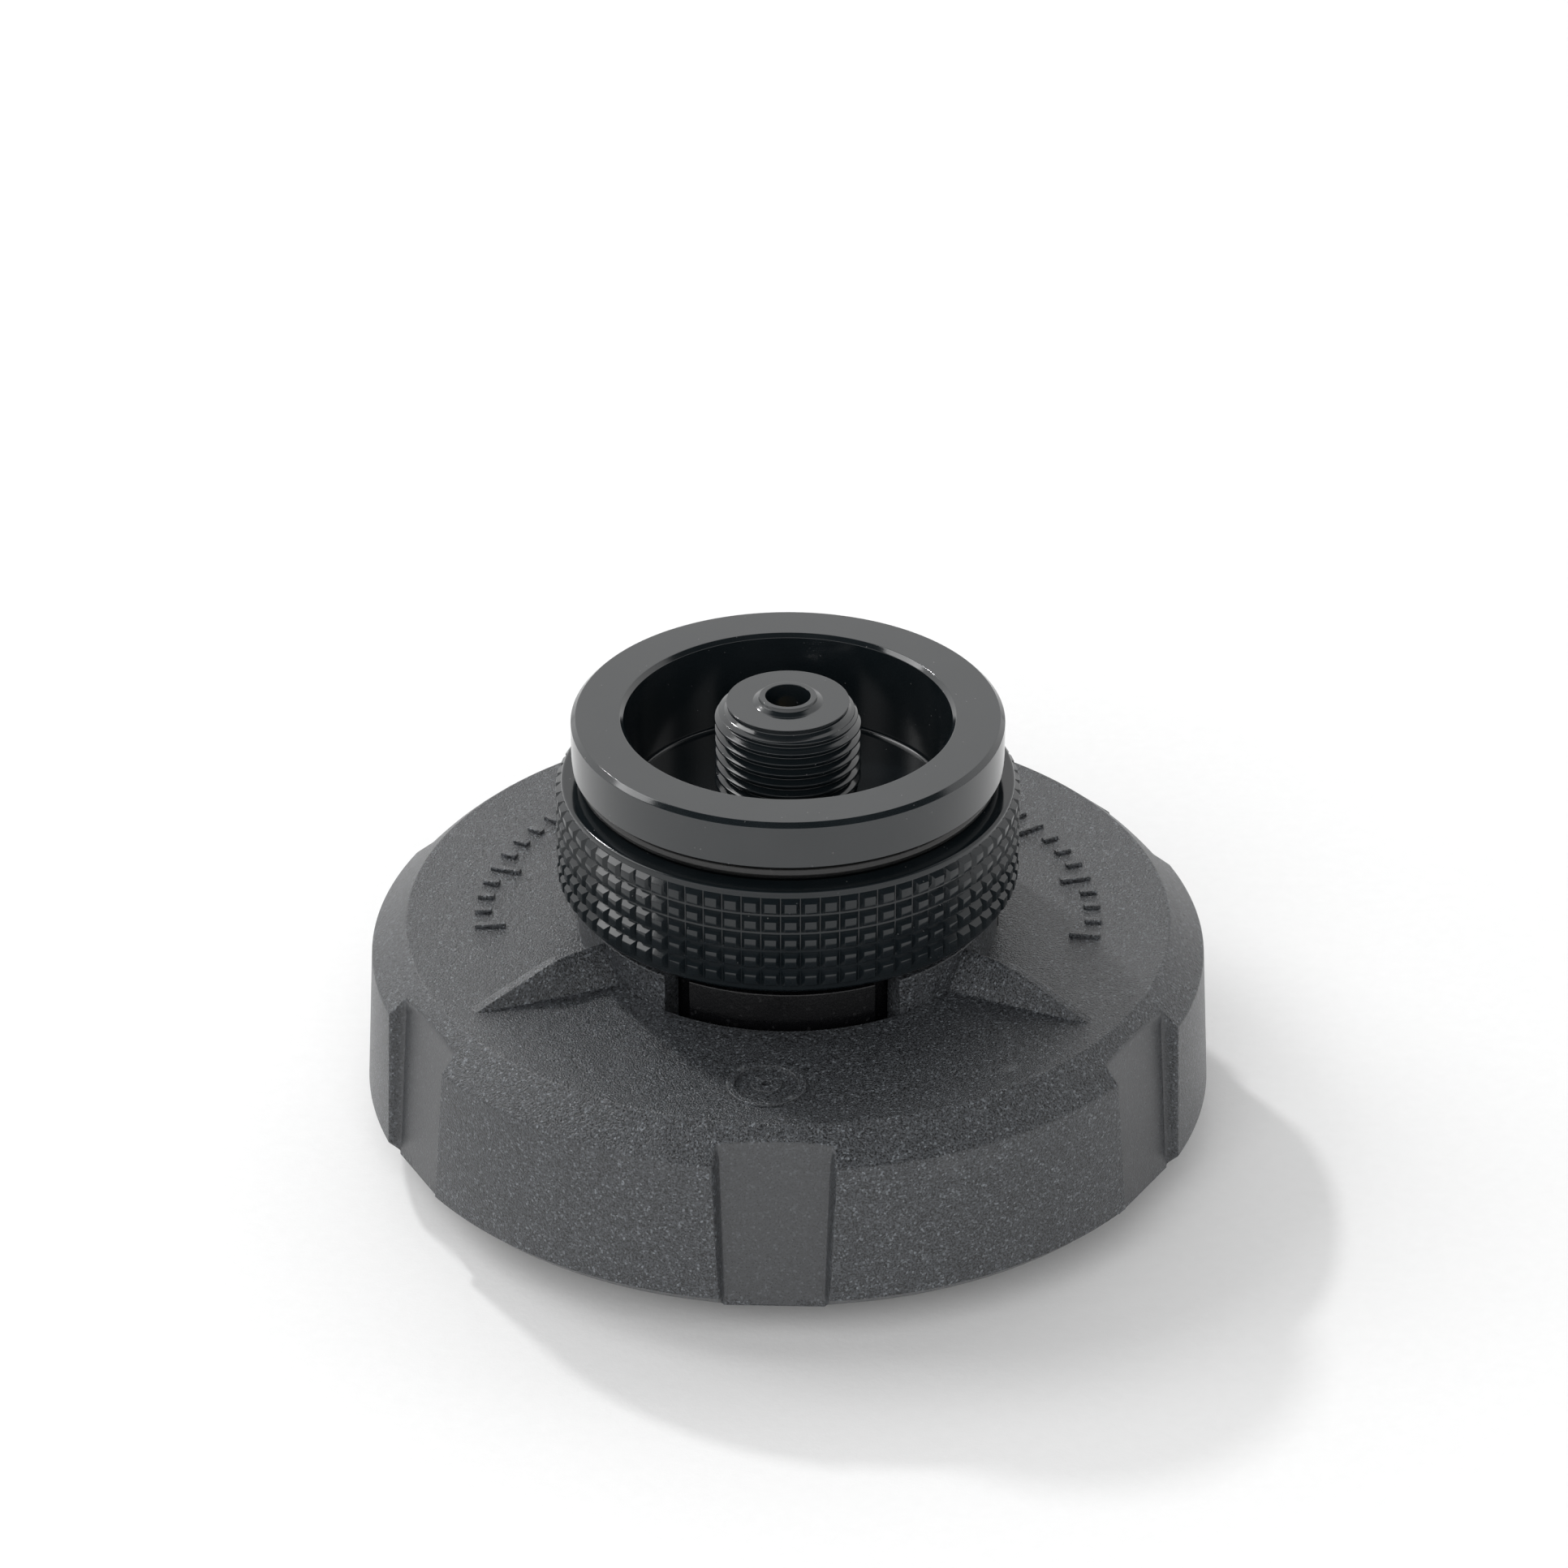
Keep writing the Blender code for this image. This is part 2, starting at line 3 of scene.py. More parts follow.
import bmesh
import bpy
import numpy as np
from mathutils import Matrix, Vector


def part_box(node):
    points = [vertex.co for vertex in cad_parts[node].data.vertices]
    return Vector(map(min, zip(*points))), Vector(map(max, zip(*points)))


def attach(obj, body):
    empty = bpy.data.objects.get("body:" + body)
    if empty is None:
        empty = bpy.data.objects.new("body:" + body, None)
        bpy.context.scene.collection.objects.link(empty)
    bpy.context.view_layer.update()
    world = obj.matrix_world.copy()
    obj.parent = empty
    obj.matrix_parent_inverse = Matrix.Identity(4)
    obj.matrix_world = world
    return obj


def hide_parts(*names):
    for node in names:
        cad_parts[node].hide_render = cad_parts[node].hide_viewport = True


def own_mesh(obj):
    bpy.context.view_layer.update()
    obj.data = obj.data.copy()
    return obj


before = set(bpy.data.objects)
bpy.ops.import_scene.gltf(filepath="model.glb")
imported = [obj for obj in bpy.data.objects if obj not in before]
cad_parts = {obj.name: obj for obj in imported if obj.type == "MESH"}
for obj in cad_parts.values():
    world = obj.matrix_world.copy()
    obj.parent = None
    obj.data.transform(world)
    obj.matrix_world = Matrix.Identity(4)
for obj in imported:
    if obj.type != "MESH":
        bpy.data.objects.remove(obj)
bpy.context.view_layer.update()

MM = 0.001

# ---------------------------------------------------------------- sizes read from the frame, in mm


def node_size(node):
    """A round node's outer radius, lowest and highest point."""
    low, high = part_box(node)
    return (high[0] - low[0]) / 2 / MM, low[2] / MM, high[2] / MM


WHEEL_R, WHEEL_LOW, WHEEL_HIGH = node_size("hand_wheel")
_, SOCKET_LOW, SOCKET_HIGH = node_size("threaded_socket")
CUP_R, CUP_LOW, CUP_HIGH = node_size("valve_cup")
RING_R, RING_LOW, RING_HIGH = node_size("knurled_ring")
SEAL_R, SEAL_LOW, SEAL_HIGH = node_size("neck_seal")
STUB_R, STUB_LOW, STUB_HIGH = node_size("threaded_stub")
STEM_R, STEM_LOW, STEM_HIGH = node_size("swivel_stem")

# ---------------------------------------------------------------- named sizes, in mm

# Hand wheel
FOOT_CUT = 1.0                  # the chamfer on the skirt's lower edge
SHOULDER_R = 32.16
SHOULDER_Z = 16.17
TOP_R = 29.48
TOP_Z = 18.52
DISH_Z = 18.10
COLLAR_R = 16.20
COLLAR_BORE_R = 14.40
PLATE_UNDER_Z = 14.60
INNER_TOP_R = 28.40
INNER_FOOT_R = 29.10

# Grip recesses
GRIP_HALF_TOP = 4.25
GRIP_HALF_FOOT = 3.80
GRIP_FLOOR_TOP_R = 30.70
GRIP_FLOOR_FOOT_R = 31.77
GRIP_SPREAD = 0.27
GRIP_SOFT = 0.13

# Ribs
RIB_ANGLES = {1: radians(57.5), 3: radians(180.0), 5: radians(302.5)}
RIB_CREST_Z = 20.85
RIB_BEND_R = 20.6
RIB_TIP_R = 27.6
RIB_ROOT_HALF = 2.0
RIB_TIP_HALF = 0.45
RIB_CREST_HALF = 0.45
RIB_CREST_ROOT_HALF = 0.12      # the crest narrows over the level part, towards the collar
RIB_SOFT = 0.10

# Collar windows and lugs
WINDOW_HALF = radians(33)
LUG_HALF = radians(27)
EDGE = 0.12                     # rounding of the collar's edges

# Smooth turned pieces, by the number of steps round them
ROUND = 288
FINE = 192
SMALL = 96
TINY = 72

# Distances in metres under which points of a mesh are joined
WELD = 0.0000005
WELD_DEGENERATE = 0.0000002
WHEEL_WELD = 0.0000008

# ---------------------------------------------------------------- mesh helpers

SUPPORT = 0.05                  # beside each arc a point keeps the flat faces flat in the shading
MOST = 0.49                     # the largest share of a side that an arc may take


def soft_step(x, start, end, soft):
    """0 before start and 1 after end with a straight ramp between, its two corners rounded over soft."""
    def ramp_sum(t):
        a, b = start, np.maximum(end, start + 1e-6)
        inside = np.clip(t, a, b)
        return (inside - a) ** 2 / 2 / (b - a) + np.maximum(t - b, 0)
    return (ramp_sum(x + soft) - ramp_sum(x - soft)) / (2 * soft)


def soft_min(a, b, soft):
    """The lower of two surfaces, with their meeting rounded over soft."""
    return (a + b - np.sqrt((a - b) ** 2 + soft * soft)) / 2


def mesh_piece(name, points, faces, finish, body, nodes=(), sharp=40, weld=False):
    """One piece of the visual model, from points in mm. It rides on a body and stands for CAD nodes.

    Edges sharper than the given angle, in degrees, stay sharp in the shading.
    """
    mesh = bpy.data.meshes.new(name)
    mesh.from_pydata([Vector(p) * MM for p in points], [], faces)
    if weld:
        shape = bmesh.new()
        shape.from_mesh(mesh)
        bmesh.ops.remove_doubles(shape, verts=shape.verts, dist=WELD)
        bmesh.ops.dissolve_degenerate(shape, edges=shape.edges, dist=WELD_DEGENERATE)
        bmesh.ops.recalc_face_normals(shape, faces=shape.faces)
        shape.to_mesh(mesh)
        shape.free()
    mesh.shade_smooth()
    mesh.set_sharp_from_angle(angle=radians(sharp))
    made = bpy.data.objects.new(name, mesh)
    bpy.context.scene.collection.objects.link(made)
    mesh.materials.append(finish)
    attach(made, body)
    if nodes:
        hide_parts(*nodes)
    return made


def grid_faces(rows, columns, close_rows, close_columns):
    """Quads over a grid of points stored row by row."""
    faces = []
    for i in range(rows if close_rows else rows - 1):
        j = (i + 1) % rows
        for k in range(columns if close_columns else columns - 1):
            m = (k + 1) % columns
            faces.append((i * columns + k, i * columns + m, j * columns + m, j * columns + k))
    return faces


def rounded(corners, closed=True, steps=5):
    """A profile of (radius, height, rounding) corners, with an arc of the given rounding at each."""
    points = []
    count = len(corners)
    for i, (r, z, radius) in enumerate(corners):
        here = Vector((r, z))
        if radius <= 0 or (not closed and i in (0, count - 1)):
            points.append((r, z))
            continue
        before = Vector(corners[i - 1][:2]) - here
        after = Vector(corners[(i + 1) % count][:2]) - here
        half = before.angle(after) / 2
        reach = min(radius / tan(half), before.length * MOST, after.length * MOST)
        start = here + before.normalized() * reach
        end = here + after.normalized() * reach
        if reach + SUPPORT < before.length * MOST:
            points.append(tuple(start + before.normalized() * SUPPORT))
        for s in range(steps + 1):
            t = s / steps
            a = start.lerp(here, t)
            b = here.lerp(end, t)
            points.append(tuple(a.lerp(b, t)))
        if reach + SUPPORT < after.length * MOST:
            points.append(tuple(end + after.normalized() * SUPPORT))
    return points


def turned(name, corners, steps, finish, body, nodes=(), closed=True, centre=(0.0, 0.0), sharp=40):
    """A turned piece. Its profile runs down the outer side and back up the inner one."""
    profile = rounded(corners, closed)
    points = []
    for r, z in profile:
        for k in range(steps):
            angle = 2 * pi * k / steps
            points.append((centre[0] + r * cos(angle), centre[1] + r * sin(angle), z))
    faces = [f[::-1] for f in grid_faces(len(profile), steps, closed, True)]
    return mesh_piece(name, points, faces, finish, body, nodes, sharp=sharp, weld=not closed)


def spot(radius, angle, z=0.0):
    """A point at an angle from the front, which is -Y."""
    return (radius * sin(angle), -radius * cos(angle), z)


# ---------------------------------------------------------------- materials


class Finish:
    """A material whose nodes are added one by one. Lengths in it are in metres."""

    def __init__(self, name, **settings):
        self.material = bpy.data.materials.new(name)
        self.material.use_nodes = True
        self.tree = self.material.node_tree
        self.shader = self.tree.nodes["Principled BSDF"]
        for socket, value in settings.items():
            self.shader.inputs[socket.replace("_", " ").title().replace("Ior", "IOR")].default_value = value
        self.place = self.node("ShaderNodeTexCoord").outputs["Object"]

    def node(self, kind, **values):
        made = self.tree.nodes.new(kind)
        for key, value in values.items():
            setattr(made, key, value)
        return made

    def link(self, source, target):
        self.tree.links.new(source, target)

    def noise(self, size, detail=2.0, roughness=0.5):
        made = self.node("ShaderNodeTexNoise")
        made.inputs["Scale"].default_value = 1 / size
        made.inputs["Detail"].default_value = detail
        made.inputs["Roughness"].default_value = roughness
        self.link(self.place, made.inputs["Vector"])
        return made.outputs["Fac"]

    def cells(self, size, output="Distance"):
        made = self.node("ShaderNodeTexVoronoi")
        made.inputs["Scale"].default_value = 1 / size
        self.link(self.place, made.inputs["Vector"])
        return made.outputs[output]

    def remap(self, value, low, high, to_low=0.0, to_high=1.0):
        made = self.node("ShaderNodeMapRange", clamp=True)
        self.link(value, made.inputs["Value"])
        ends = {"From Min": low, "From Max": high, "To Min": to_low, "To Max": to_high}
        for socket, number in ends.items():
            made.inputs[socket].default_value = number
        return made.outputs["Result"]

    def maths(self, operation, first, second):
        made = self.node("ShaderNodeMath", operation=operation)
        for socket, value in zip(made.inputs, (first, second)):
            if isinstance(value, (int, float)):
                socket.default_value = value
            else:
                self.link(value, socket)
        return made.outputs["Value"]

    def mix(self, factor, first, second):
        made = self.node("ShaderNodeMix", data_type="RGBA")
        self.link(factor, made.inputs["Factor"])
        for socket, colour in ((made.inputs[6], first), (made.inputs[7], second)):
            if isinstance(colour, tuple):
                socket.default_value = (*colour, 1.0)
            else:
                self.link(colour, socket)
        return made.outputs[2]

    def bump(self, height, depth, strength=1.0):
        made = self.node("ShaderNodeBump")
        made.inputs["Strength"].default_value = strength
        made.inputs["Distance"].default_value = depth
        self.link(height, made.inputs["Height"])
        return made.outputs["Normal"]

    def attribute(self, name):
        return self.node("ShaderNodeAttribute", attribute_name=name).outputs["Fac"]

    def edges(self, low=0.52, high=0.60):
        """1 along outer edges, from the mesh's own curvature."""
        made = self.node("ShaderNodeNewGeometry")
        return self.remap(made.outputs["Pointiness"], low, high)

    def set(self, socket, value):
        self.link(value, self.shader.inputs[socket])


def moulded_plastic():
    """Black moulded plastic: fine grain with painted glints standing in for its sparkle, and painted highlights
    along outer edges; smoother where a wall was drawn from the mould.
    """
    f = Finish("moulded_black", ior=1.55)
    smooth = f.attribute("smooth_wall")
    coarse = f.noise(0.00034, 3.0, 0.75)
    grain = f.noise(0.00014, 1.5, 0.6)
    speck = f.remap(grain, 0.38, 0.62)
    # painted glints: bright flecks in the colour stand in for the grain's sparkle, with fewer on smooth walls
    flecks_and_glints = f.remap(f.cells(0.00015, "Color"), 0.72, 0.97)
    flecks_and_glints = f.maths("MULTIPLY", flecks_and_glints, f.remap(smooth, 0.0, 1.0, 0.60, 0.2))
    smudge = f.maths("MULTIPLY", f.remap(f.noise(0.0045, 4.0, 0.6), 0.60, 0.74), 0.30)
    base = f.mix(speck, (0.006, 0.0066, 0.0074), (0.052, 0.056, 0.062))
    # painted highlight: outer edges lighter, from the mesh's curvature
    base = f.mix(f.maths("MULTIPLY", f.edges(), 0.5), base, (0.085, 0.088, 0.092))
    base = f.mix(f.maths("MULTIPLY", smooth, 0.7), base, (0.042, 0.0435, 0.046))
    base = f.mix(smudge, base, (0.070, 0.072, 0.075))
    base = f.mix(flecks_and_glints, base, (0.22, 0.24, 0.26))
    f.set("Base Color", base)
    f.set("Roughness", f.remap(grain, 0.3, 0.7, 0.26, 0.44))
    both = f.maths("ADD", f.maths("MULTIPLY", coarse, 0.55), grain)
    depth = f.maths("MULTIPLY", both, f.remap(smooth, 0.0, 1.0, 1.0, 0.25))
    f.set("Normal", f.bump(depth, 0.00009, 1.0))
    return f.material


def anodised(name, ior):
    """Hard black anodising over turned aluminium, with a little dust on it."""
    f = Finish(name, ior=ior)
    cloud = f.noise(0.004, 3.0)
    grain = f.noise(0.00012, 2.0)
    dust = f.remap(f.cells(0.0008), 0.0, 0.085, 1.0, 0.0)
    some = f.remap(f.noise(0.0026, 1.0), 0.50, 0.56)
    dust = f.maths("MULTIPLY", dust, some)
    base = f.mix(f.remap(cloud, 0.3, 0.7), (0.005, 0.0075, 0.009), (0.008, 0.0105, 0.0122))
    base = f.mix(f.maths("MULTIPLY", dust, 0.7), base, (0.22, 0.22, 0.22))
    f.set("Base Color", base)
    polish = f.remap(cloud, 0.25, 0.75, 0.09, 0.14)
    f.set("Roughness", f.maths("ADD", polish, f.maths("MULTIPLY", dust, 0.4)))
    f.set("Normal", f.bump(grain, 0.0000015, 0.6))
    return f.material


def cast_black():
    """The socket's lugs: black paint over a grainy die casting."""
    f = Finish("socket_paint", ior=1.5)
    grain = f.noise(0.00022, 3.0, 0.7)
    flecks_and_glints = f.remap(f.cells(0.00026, "Color"), 0.84, 0.96)
    base = f.mix(f.maths("MULTIPLY", flecks_and_glints, 0.30), (0.002, 0.002, 0.0025), (0.04, 0.04, 0.042))
    f.set("Base Color", base)
    f.set("Roughness", f.remap(grain, 0.3, 0.7, 0.20, 0.32))
    f.set("Normal", f.bump(grain, 0.00003, 0.8))
    return f.material


def rubber():
    """Glossy black rubber with a trace of dust."""
    f = Finish("seal_rubber", ior=1.5)
    grain = f.noise(0.00012, 3.0)
    dust = f.remap(f.noise(0.0006, 4.0, 0.7), 0.58, 0.72)
    dust = f.maths("MULTIPLY", dust, 0.3)
    f.set("Base Color", f.mix(dust, (0.008, 0.008, 0.008), (0.045, 0.045, 0.044)))
    f.set("Roughness", f.remap(grain, 0.3, 0.7, 0.16, 0.26))
    f.set("Normal", f.bump(grain, 0.00001, 0.5))
    return f.material


def bare_metal(name, colour, dark, rough=0.28):
    """Turned metal: fine rings from the tool, with darker tarnish in patches."""
    f = Finish(name, metallic=1.0)
    waves = f.node("ShaderNodeTexWave", wave_type="BANDS", bands_direction="Z")
    waves.inputs["Scale"].default_value = 1500.0
    waves.inputs["Distortion"].default_value = 1.5
    waves.inputs["Detail"].default_value = 2.0
    f.link(f.place, waves.inputs["Vector"])
    patches = f.remap(f.noise(0.0025, 4.0, 0.6), 0.45, 0.75)
    f.set("Base Color", f.mix(f.maths("MULTIPLY", patches, 0.6), colour, dark))
    f.set("Roughness", f.remap(patches, 0.0, 1.0, rough, rough + 0.14))
    f.set("Normal", f.bump(waves.outputs["Fac"], 0.000008, 0.5))
    return f.material


def sintered_bronze():
    """Small bronze beads fused together, with painted shade in the gaps between them."""
    f = Finish("sintered_bronze", metallic=0.9)
    beads = f.cells(0.00018)
    # painted shade: darker between the beads, by distance from each bead's middle
    f.set("Base Color", f.mix(f.remap(beads, 0.2, 0.6), (0.45, 0.29, 0.14), (0.09, 0.055, 0.03)))
    f.set("Roughness", f.remap(beads, 0.0, 0.6, 0.4, 0.8))
    f.set("Normal", f.bump(f.maths("SUBTRACT", 1.0, beads), 0.00006, 1.0))
    return f.material


def acetal():
    """Plain black acetal, slightly mottled."""
    f = Finish("acetal_black", ior=1.48)
    grain = f.noise(0.0004, 4.0, 0.6)
    f.set("Base Color", f.mix(f.remap(grain, 0.35, 0.65), (0.024, 0.024, 0.025), (0.036, 0.036, 0.037)))
    f.set("Roughness", f.remap(grain, 0.3, 0.7, 0.34, 0.5))
    f.set("Normal", f.bump(grain, 0.00002, 0.4))
    return f.material


PLASTIC = moulded_plastic()
BLACK = anodised("black_anodising", 1.66)
RING_BLACK = anodised("ring_anodising", 1.46)
SOCKET_BLACK = cast_black()
RUBBER = rubber()
STEEL = bare_metal("turned_steel", (0.60, 0.60, 0.61), (0.32, 0.31, 0.30))
BRASS = bare_metal("turned_brass", (0.72, 0.52, 0.24), (0.38, 0.25, 0.11))
BRONZE = sintered_bronze()
ACETAL = acetal()

# ---------------------------------------------------------------- hand wheel


def top_height(r):
    """The height of the wheel's top, which is slightly dished."""
    return DISH_Z + (TOP_Z - DISH_Z) * (r - COLLAR_R) / (TOP_R - COLLAR_R)


def wheel_rows():
    """The levels round the wheel's section, from the collar's foot outwards, down, in and back up.

    Each is (kind, radius, height): kind top takes the ribs, and side takes the recesses.
    """
    spans = ((COLLAR_R, 20.0, 14), (20.2, 21.0, 7), (21.4, 27.0, 15), (27.2, 28.2, 8), (28.5, TOP_R - 0.2, 4))
    rows = [("top", r, top_height(r)) for r in np.concatenate([np.linspace(*span) for span in spans])]
    outside = rounded([(TOP_R - 0.2, TOP_Z - 0.006, 0), (TOP_R, TOP_Z, 0.25), (SHOULDER_R, SHOULDER_Z, 0.30),
                       (WHEEL_R, WHEEL_LOW + FOOT_CUT, 0.12), (WHEEL_R - FOOT_CUT, WHEEL_LOW, 0.15),
                       (INNER_FOOT_R, WHEEL_LOW, 0.25), (INNER_TOP_R, PLATE_UNDER_Z, 0.5),
                       (COLLAR_R + 0.05, PLATE_UNDER_Z, 0)], closed=False)
    filled = [outside[0]]
    for start, end in zip(outside, outside[1:]):
        length = hypot(end[0] - start[0], end[1] - start[1])
        step = 0.12 if start[1] > SHOULDER_Z else 0.8
        pieces = max(1, round(length / step))
        for s in range(1, pieces + 1):
            filled.append(tuple(a + (b - a) * s / pieces for a, b in zip(start, end)))
    lowest = min(range(len(filled)), key=lambda i: (filled[i][1], -filled[i][0]))
    for i, (r, z) in enumerate(filled[1:]):
        rows.append(("side" if i < lowest else "under", r, z))
    return rows


def wheel_marks():
    """Angles that the columns follow, as (function of radius and height, cells up to the next mark)."""
    marks = []

    def at(angle, cells):
        marks.append((lambda r, z: angle, cells))

    def grip_edge(centre, side, offset, cells):
        def angle(r, z):
            top = (z - WHEEL_LOW) / (SHOULDER_Z - WHEEL_LOW)
            half = GRIP_HALF_FOOT + (GRIP_HALF_TOP - GRIP_HALF_FOOT) * top + offset
            inward = min(1.0, max(0.0, (29.3 - r) / 8.0))
            return centre + side * (half / max(r, 29.0) + inward * radians(4.5))
        marks.append((angle, cells))

    def rib_edge(centre, side, foot, offset, cells):
        def angle(r, z):
            along = min(1.0, max(0.0, (r - COLLAR_R) / (RIB_TIP_R - COLLAR_R)))
            half = offset + (RIB_ROOT_HALF + (RIB_TIP_HALF - RIB_ROOT_HALF) * along if foot else crest_half(r))
            return centre + side * half / min(max(r, COLLAR_R), 29.0)
        marks.append((angle, cells))

    round_off = EDGE / COLLAR_R
    for k in range(6):
        centre = k * pi / 3
        grip_edge(centre, -1, 0.65, 18)
        if k in RIB_ANGLES:
            grip_edge(centre, -1, -0.25, 8)
            rib_edge(RIB_ANGLES[k], -1, True, 0.22, 14)
            rib_edge(RIB_ANGLES[k], -1, False, -0.10, 6)
            rib_edge(RIB_ANGLES[k], 1, False, -0.10, 14)
            rib_edge(RIB_ANGLES[k], 1, True, 0.22, 8)
        else:
            grip_edge(centre, -1, -0.25, 24)
        grip_edge(centre, 1, -0.25, 18)
        grip_edge(centre, 1, 0.65, 14)
        if k in RIB_ANGLES:
            edge = centre + pi / 3 - WINDOW_HALF
            at(edge - round_off, 4)
            at(edge, 1)
            at(edge + 1e-7, 12)
        else:
            edge = centre + WINDOW_HALF
            at(edge - 1e-7, 1)
            at(edge, 4)
            at(edge + round_off, 12)
    return marks


def in_window(angle):
    """1 in a window of the collar, 0 beside it."""
    turn = (angle + WINDOW_HALF) % (2 * pi / 3) - WINDOW_HALF
    return np.abs(turn) < WINDOW_HALF


def edge_distance(angle):
    """How far, in mm along the collar, an angle is from the nearest end of a window."""
    turn = np.abs((angle + pi / 3) % (2 * pi / 3) - pi / 3)
    return np.abs(turn - WINDOW_HALF) * COLLAR_R


def grip_surface(angle, land, z, cut_top):
    """The skirt's radius with the recesses cut in, and where its surface is a recess floor."""
    turn = (angle + pi / 6) % (pi / 3) - pi / 6
    side = np.abs(land * np.sin(turn))
    top = (z - WHEEL_LOW) / (SHOULDER_Z - WHEEL_LOW)
    half = GRIP_HALF_FOOT + (GRIP_HALF_TOP - GRIP_HALF_FOOT) * top
    floor_x = GRIP_FLOOR_FOOT_R + (GRIP_FLOOR_TOP_R - GRIP_FLOOR_FOOT_R) * top
    floor = floor_x / np.cos(turn)
    depth = np.maximum(land - floor, 0.0)
    share = soft_step(side, half, half + np.maximum(GRIP_SPREAD * depth, 0.02), GRIP_SOFT)
    if cut_top:
        floor = soft_min(floor, land, 0.16)
    return floor + (land - floor) * share, (1 - share) * (land - floor > 0.05)


def crest_half(r):
    """Half the width of a rib's crest."""
    return float(np.interp(r, [COLLAR_R, 19.3, RIB_BEND_R], [RIB_CREST_ROOT_HALF, 0.22, RIB_CREST_HALF]))


def rib_surface(angle, r, base):
    """The top's height with the ribs standing on it."""
    height = base + 0 * angle
    drop = (r - RIB_BEND_R) / (RIB_TIP_R - RIB_BEND_R)
    tip_z = TOP_Z - 0.10
    crest = soft_min(np.float64(RIB_CREST_Z), RIB_CREST_Z + (tip_z - RIB_CREST_Z) * drop, 0.12)
    along = min(1.0, max(0.0, (r - COLLAR_R) / (RIB_TIP_R - COLLAR_R)))
    foot = RIB_ROOT_HALF + (RIB_TIP_HALF - RIB_ROOT_HALF) * along
    for centre in RIB_ANGLES.values():
        turn = (angle - centre + pi) % (2 * pi) - pi
        side = np.abs(r * np.sin(turn)) + 10 * (np.abs(turn) > 1)
        share = 1 - soft_step(side, crest_half(r), max(foot, crest_half(r) + 0.02), RIB_SOFT)
        height = height + max(crest - base, 0.0) * share
    return height


COLLAR_WALL_ROWS = 8


def collar_section(count):
    """Rows of the collar from the plate's underside, up the bore, over the top and down to its foot."""
    rise = WHEEL_HIGH - EDGE - PLATE_UNDER_Z
    bore = [(COLLAR_BORE_R, PLATE_UNDER_Z + rise * s / count) for s in range(count + 1)]
    over = rounded([(COLLAR_BORE_R, WHEEL_HIGH - 0.5, 0), (COLLAR_BORE_R, WHEEL_HIGH, EDGE),
                    (COLLAR_R, WHEEL_HIGH, EDGE), (COLLAR_R, WHEEL_HIGH - 0.5, 0)], closed=False)
    wall = [(COLLAR_R, WHEEL_HIGH - EDGE - 0.05 - s / COLLAR_WALL_ROWS) for s in range(COLLAR_WALL_ROWS)]
    return bore[:-1] + over[1:-1] + wall


def wheel_mesh():
    """The wheel's points, its faces, and how smooth its wall is at each point."""
    rows = wheel_rows()
    marks = wheel_marks()
    starts = np.cumsum([0] + [cells for _, cells in marks])
    columns = np.arange(starts[-1])

    def angles(r, z):
        at = [f(r, z) for f, _ in marks]
        return np.interp(columns, starts, at + [at[0] + 2 * pi])

    points = []
    smooth = []
    first_angle = angles(COLLAR_R, DISH_Z)
    window = in_window(first_angle)
    first_height = rib_surface(first_angle, COLLAR_R, DISH_Z)
    inset = EDGE - np.sqrt(np.maximum(0.0, EDGE ** 2 - np.maximum(EDGE - edge_distance(first_angle), 0.0) ** 2))
    collar = collar_section(10)
    middle_r = (COLLAR_R + COLLAR_BORE_R) / 2
    for i, (r, z) in enumerate(collar):
        shrunk_r = np.where(r < middle_r, r + inset, r - inset)
        if i >= len(collar) - COLLAR_WALL_ROWS:
            s = (i - len(collar) + COLLAR_WALL_ROWS + 1) / (COLLAR_WALL_ROWS + 1)
            start_z = WHEEL_HIGH - EDGE - 0.02
            z_here = start_z + (first_height + 0.02 - start_z) * s
        else:
            z_here = np.minimum(z, WHEEL_HIGH - inset)
        s = (i + 1) / (len(collar) + 1)
        window_z = PLATE_UNDER_Z + (DISH_Z - EDGE * 1.2 - PLATE_UNDER_Z) * s
        radius = np.where(window, COLLAR_R + 0.05, shrunk_r)
        height = np.where(window, window_z, z_here)
        points.append(np.stack([radius * np.sin(first_angle), -radius * np.cos(first_angle), height], axis=1))
        smooth.append(np.where(window, 0.6, 0.0))
    for kind, r, z in rows:
        angle = angles(r, z)
        radius = r + 0 * angle
        height = z + 0 * angle
        floor = 0 * angle
        if kind == "top":
            height = rib_surface(angle, r, z)
            if r < COLLAR_R + 0.01:
                radius = np.where(window, COLLAR_R + 0.05, COLLAR_R)
                height = np.where(window, height - EDGE * 0.4, height)
        elif kind == "side":
            radius, floor = grip_surface(angle, r, z, z > SHOULDER_Z - 4)
        elif z < WHEEL_LOW + 0.5 and r > INNER_FOOT_R + 0.4:
            outer, floor = grip_surface(angle, r, z, False)
            radius = np.where(r > WHEEL_R - FOOT_CUT - 0.3, outer, radius)
        points.append(np.stack([radius * np.sin(angle), -radius * np.cos(angle), height], axis=1))
        smooth.append(floor)
    grid = np.concatenate(points)
    faces = grid_faces(len(points), len(columns), True, True)
    return grid, faces, np.concatenate(smooth)


def hand_wheel():
    grid, faces, smooth = wheel_mesh()
    made = mesh_piece("wheel", grid.tolist(), faces, PLASTIC, "wheel", ["hand_wheel"], sharp=45)
    attribute = made.data.attributes.new("smooth_wall", "FLOAT", "POINT")
    attribute.data.foreach_set("value", smooth.astype(np.float32))
    shape = bmesh.new()
    shape.from_mesh(made.data)
    bmesh.ops.remove_doubles(shape, verts=shape.verts, dist=WHEEL_WELD)
    bmesh.ops.recalc_face_normals(shape, faces=shape.faces)
    shape.to_mesh(made.data)
    shape.free()
    return made


hand_wheel()

# ---------------------------------------------------------------- knurled ring

